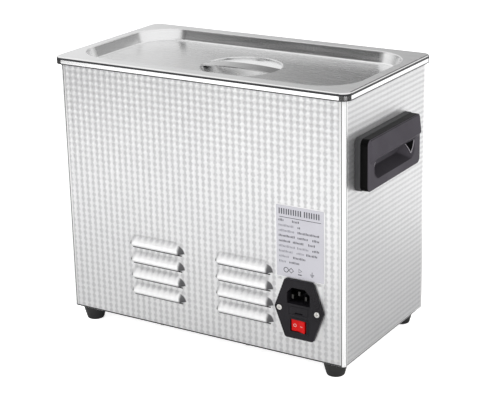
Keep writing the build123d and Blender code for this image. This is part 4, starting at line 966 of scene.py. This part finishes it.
def front_details(materials):
    """Lit digits, key symbols and the overlay's printed borders on the control panel."""
    low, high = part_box("displays")
    face = low[1]
    lit = Solids((0, face, (low[2] + high[2]) / 2), FRONT_AXES)
    dim = Solids((0, face, (low[2] + high[2]) / 2), FRONT_AXES)
    window = (high[0] + low[0]) / 2
    for centre, numbers in ((-DISPLAY_CENTRE, (0, 5, 0, 0)), (DISPLAY_CENTRE, (0, 4, 5))):
        for index, number in enumerate(numbers):
            middle = window + centre + (index - (len(numbers) - 1) / 2) * DIGIT_PITCH
            for arm, (u, v, upright) in enumerate(SEGMENTS):
                target = lit if arm in DIGITS[number] else dim
                segment(target, middle + u * DIGIT_REACH, v * DIGIT_REACH, DIGIT_REACH, upright)
    lit.make("display_digits", materials["display_lit"], "cleaner", "display_window")
    dim.make("display_unlit_segments", materials["display_dim"], "cleaner", "display_window")

    low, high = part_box("control_overlay")
    plate = Solids((0, low[1], (low[2] + high[2]) / 2), FRONT_AXES)
    half_w, half_h = ((high[axis] - low[axis]) / 2 - OVERLAY_MARGIN for axis in (0, 2))
    outer = rounded(0, 0, half_w, half_h, 2.5 * MM)
    plate.band(rounded(0, 0, half_w - BORDER_LINE, half_h - BORDER_LINE, 2.0 * MM), outer)
    for centre in (-DISPLAY_CENTRE, DISPLAY_CENTRE):
        inner = rounded(centre, WINDOW_LEVEL, 18.9 * MM, 8.9 * MM, 1.5 * MM)
        plate.band(inner, rounded(centre, WINDOW_LEVEL, 19.4 * MM, 9.4 * MM, 1.8 * MM))
    for index in range(3):
        plate.box((index - 1) * BAR_PITCH, BARS_LEVEL, 3.6 * MM, 0.6 * MM)
    for index in range(6):
        plate.ring((index - 2.5) * KEY_PITCH, KEYS_LEVEL, 7.9 * MM, 8.4 * MM, 48)
    plate.make("overlay_borders", materials["overlay_print"], "cleaner", "overlay_film")

    for name in ("power", "time_up", "time_down", "heat_up", "heat_down", "start"):
        node = f"button_{name}"
        low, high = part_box(node)
        mark = Solids(((low[0] + high[0]) / 2, low[1], (low[2] + high[2]) / 2), FRONT_AXES)
        if name == "power":
            mark.band(*arc_band(2.1 * MM, 2.7 * MM, math.radians(125), math.radians(290)), closed=False)
            mark.box(0, 2.2 * MM, 0.6 * MM, 2.4 * MM)
        elif name == "start":
            mark.prism([(-1.5 * MM, -2.1 * MM), (2.3 * MM, 0), (-1.5 * MM, 2.1 * MM)])
        else:
            way = 1 if name.endswith("up") else -1
            mark.prism([(-2.3 * MM, -1.5 * way * MM), (2.3 * MM, -1.5 * way * MM), (0, 2.1 * way * MM)])
        mark.make(f"{node}_symbol", materials["button_mark"], node, "button_plastic")


def rounded(u, v, half_w, half_h, radius, steps=6):
    """Outline of a rectangle with round corners."""
    outline = []
    for quarter, (i, j) in enumerate(((1, 1), (-1, 1), (-1, -1), (1, -1))):
        for step in range(steps + 1):
            turn = math.pi / 2 * (quarter + step / steps)
            across = u + i * (half_w - radius) + radius * math.cos(turn)
            outline.append((across, v + j * (half_h - radius) + radius * math.sin(turn)))
    return outline


def arc_band(inner, outer, start, sweep, count=24):
    return circle(0, 0, inner, count, start, sweep), circle(0, 0, outer, count, start, sweep)


# the lid's edge: how far it comes below the seal, its corners, and the painted shadow lines on it
LID_EDGE_DROP = 2.0 * MM
LID_CORNER = 10.0 * MM
HEM_HEIGHT = 0.95 * MM
HEM_STAND = 0.04 * MM
HEM_DEPTH = 0.7 * MM
SEAM_HEIGHT = 1.9 * MM
SEAM_DROP = 1.0 * MM


def lid_shadow_lines(materials):
    """Painted shadow in the seam under the lid's rolled edge, and a painted shadow line at the foot of its
    rim.
    """
    low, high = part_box("lid")
    middle = [(low[axis] + high[axis]) / 2 for axis in (0, 1)]
    half = [(high[axis] - low[axis]) / 2 for axis in (0, 1)]
    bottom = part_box("rim_seal")[0][2] - LID_EDGE_DROP
    ring = Solids((middle[0], middle[1], bottom), ((1, 0, 0), (0, 1, 0), (0, 0, 1)))
    outer = rounded(0, 0, half[0] + HEM_STAND, half[1] + HEM_STAND, LID_CORNER, 12)
    inner = rounded(0, 0, half[0] - HEM_DEPTH, half[1] - HEM_DEPTH, LID_CORNER - HEM_DEPTH, 12)
    # painted shadow rings: one at the foot of the rim, one in the seam under the top
    ring.band(inner, outer, -0.02 * MM, HEM_HEIGHT)
    seam_top = high[2] - bottom - SEAM_DROP
    ring.band(inner, outer, seam_top - SEAM_HEIGHT, seam_top)
    ring.make("lid_shadow_lines", materials["painted_shade_strips"], "lid", "pressed_steel")


BEND_RADIUS = 3.0 * MM
BEND_STEPS = 10
CREASE_WIDTH = 0.8 * MM
CREASE_STAND = 0.04 * MM
REAR_FOOT_LINE = 1.3 * MM
SIDE_FOOT_LINE = 0.7 * MM


def bend_creases(materials):
    """Painted shade lines at the pressing creases of each rear bend, the smooth stripe round it, and a
    painted shade line along the foot.
    """
    low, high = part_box("housing")
    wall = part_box("rating_label")[0][1]
    middle = (low[2] + high[2]) / 2
    tall = high[2] - low[2] - 1.0 * MM
    deep = high[1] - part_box("front_panel")[1][1]
    # painted shade line along the foot of the rear wall
    foot = Solids((0, wall, low[2]), REAR_AXES)
    level = 0.1 * MM + REAR_FOOT_LINE / 2
    foot.box(0, level, high[0] - low[0] - 2 * BEND_RADIUS, REAR_FOOT_LINE, high=CREASE_STAND)
    foot.make("rear_foot_shade_line", materials["painted_shade_strips"], *HOUSING)
    inset = BEND_RADIUS + CREASE_WIDTH / 2
    for side, sign in (("left", -1), ("right", 1)):
        edge = high[0] * sign
        # painted shade lines at the bend's creases, and along the side's foot
        rear = Solids((edge - sign * inset, wall, middle), REAR_AXES)
        rear.box(0, 0, CREASE_WIDTH, tall, high=CREASE_STAND)
        rear.make(f"rear_crease_shade_{side}", materials["painted_shade_strips"], *HOUSING)
        flank = Solids((edge, wall - inset, middle), ((0, 1, 0), (0, 0, 1), (sign, 0, 0)))
        flank.box(0, 0, CREASE_WIDTH, tall, high=CREASE_STAND)
        level = (SIDE_FOOT_LINE - tall) / 2
        flank.box(-deep / 2 + 4.0 * MM, level, deep - 12.0 * MM, SIDE_FOOT_LINE, high=CREASE_STAND)
        flank.make(f"side_crease_shade_{side}", materials["painted_shade_strips"], *HOUSING)
        bend_band(side, sign, edge, wall, middle, tall, materials)


def bend_band(side, sign, edge, wall, middle, tall, materials):
    """The smooth stripe round one rear bend, just proud of the sheet."""
    points, faces = [], []
    radius = BEND_RADIUS + 0.035 * MM
    for step in range(BEND_STEPS + 1):
        turn = math.pi / 2 * step / BEND_STEPS
        across = edge - sign * BEND_RADIUS + sign * radius * math.cos(turn)
        outward = wall - BEND_RADIUS + radius * math.sin(turn)
        points += [(across, outward, middle - tall / 2), (across, outward, middle + tall / 2)]
    for step in range(BEND_STEPS):
        first = 2 * step
        ring = (first, first + 2, first + 3, first + 1)
        faces.append(ring if sign > 0 else ring[::-1])
    band = materials["bend_band"]
    mesh_piece(f"bend_band_{side}", points, faces, band, *HOUSING, smooth=True)


# corners of the web of painted shade on the end wall of a handle's opening: mm from the wall outward, mm
# from the middle up
WEB_CORNERS = ((11.5, -11.5), (6.75, -2.75), (13.5, 1.25))
WEB_STEPS = 8
WEB_STAND = 0.3 * MM
ROD_SIDES = 8
ROD_RADIUS = 0.4 * MM


def web_place(side, way, out, up):
    """A place just proud of the opening's end wall: (place, normal)."""
    sign = -1 if side == "left" else 1
    low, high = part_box(f"handle_base_{side}")
    wall = high[0] if sign < 0 else low[0]
    start = (wall + sign * out * MM, (low[1] + high[1]) / 2, (low[2] + high[2]) / 2 + up * MM)
    place, normal = surface_spot(f"handle_grip_{side}", start, (0, way, 0))
    return place + normal * WEB_STAND, normal


def web_fill(side, way, apex, left, right):
    """The web's own sheet, as rows of triangles from its apex: (points, faces)."""
    points, faces = [], []
    for row in range(WEB_STEPS + 1):
        first = apex + (left - apex) * row / WEB_STEPS
        last = apex + (right - apex) * row / WEB_STEPS
        for column in range(row + 1):
            share = column / row if row else 0.0
            points.append(web_place(side, way, *(first + (last - first) * share))[0])
    for row in range(WEB_STEPS):
        above, below = row * (row + 1) // 2, (row + 1) * (row + 2) // 2
        for column in range(row + 1):
            faces.append((above + column, below + column, below + column + 1))
            if column < row:
                faces.append((above + column, below + column + 1, above + column + 1))
    return points, faces


def web_rod(side, way, start, end, points, faces):
    """Adds one thin rod along an edge of the web, as a painted highlight."""
    shares = [step / WEB_STEPS for step in range(WEB_STEPS + 1)]
    line = [web_place(side, way, *(start + (end - start) * share)) for share in shares]
    first = len(points)
    for index, (place, normal) in enumerate(line):
        run = (line[min(index + 1, WEB_STEPS)][0] - line[max(index - 1, 0)][0]).normalized()
        out = run.cross(normal).normalized()
        for turn in range(ROD_SIDES):
            angle = 2 * math.pi * turn / ROD_SIDES
            points.append(place + (out * math.cos(angle) + normal * math.sin(angle)) * ROD_RADIUS)
    for ring in range(WEB_STEPS):
        lower = first + ROD_SIDES * ring
        for i in range(ROD_SIDES):
            after = (i + 1) % ROD_SIDES
            faces.append((lower + i, lower + after, lower + ROD_SIDES + after, lower + ROD_SIDES + i))
    last = first + ROD_SIDES * WEB_STEPS
    faces.append(tuple(first + i for i in reversed(range(ROD_SIDES))))
    faces.append(tuple(last + i for i in range(ROD_SIDES)))


def handle_webs(materials):
    """At each end of a handle's opening, a dark web of painted shade, framed by lighter rods as painted
    highlights.
    """
    apex, left, right = (np.array(corner) for corner in WEB_CORNERS)
    slot = "handle_grip_plastic"
    for side in ("left", "right"):
        for end, way in (("front", -1), ("rear", 1)):
            points, faces = web_fill(side, way, apex, left, right)
            sheet = materials["web_painted_shade"]
            mesh_piece(f"handle_gusset_{side}_{end}", points, faces, sheet, "cleaner", slot)
            points, faces = [], []
            for corner in (left, right):
                web_rod(side, way, apex, corner, points, faces)
            edge, name = materials["web_painted_highlight"], f"handle_gusset_edges_{side}_{end}"
            mesh_piece(name, points, faces, edge, "cleaner", slot, smooth=True)


make_camera()
materials = make_materials()
finish_nodes(materials)
make_studio(materials)
embossed_walls(materials)
bend_creases(materials)
lid_shadow_lines(materials)
label_marks(materials)
rocker_marks(materials)
front_details(materials)
handle_webs(materials)
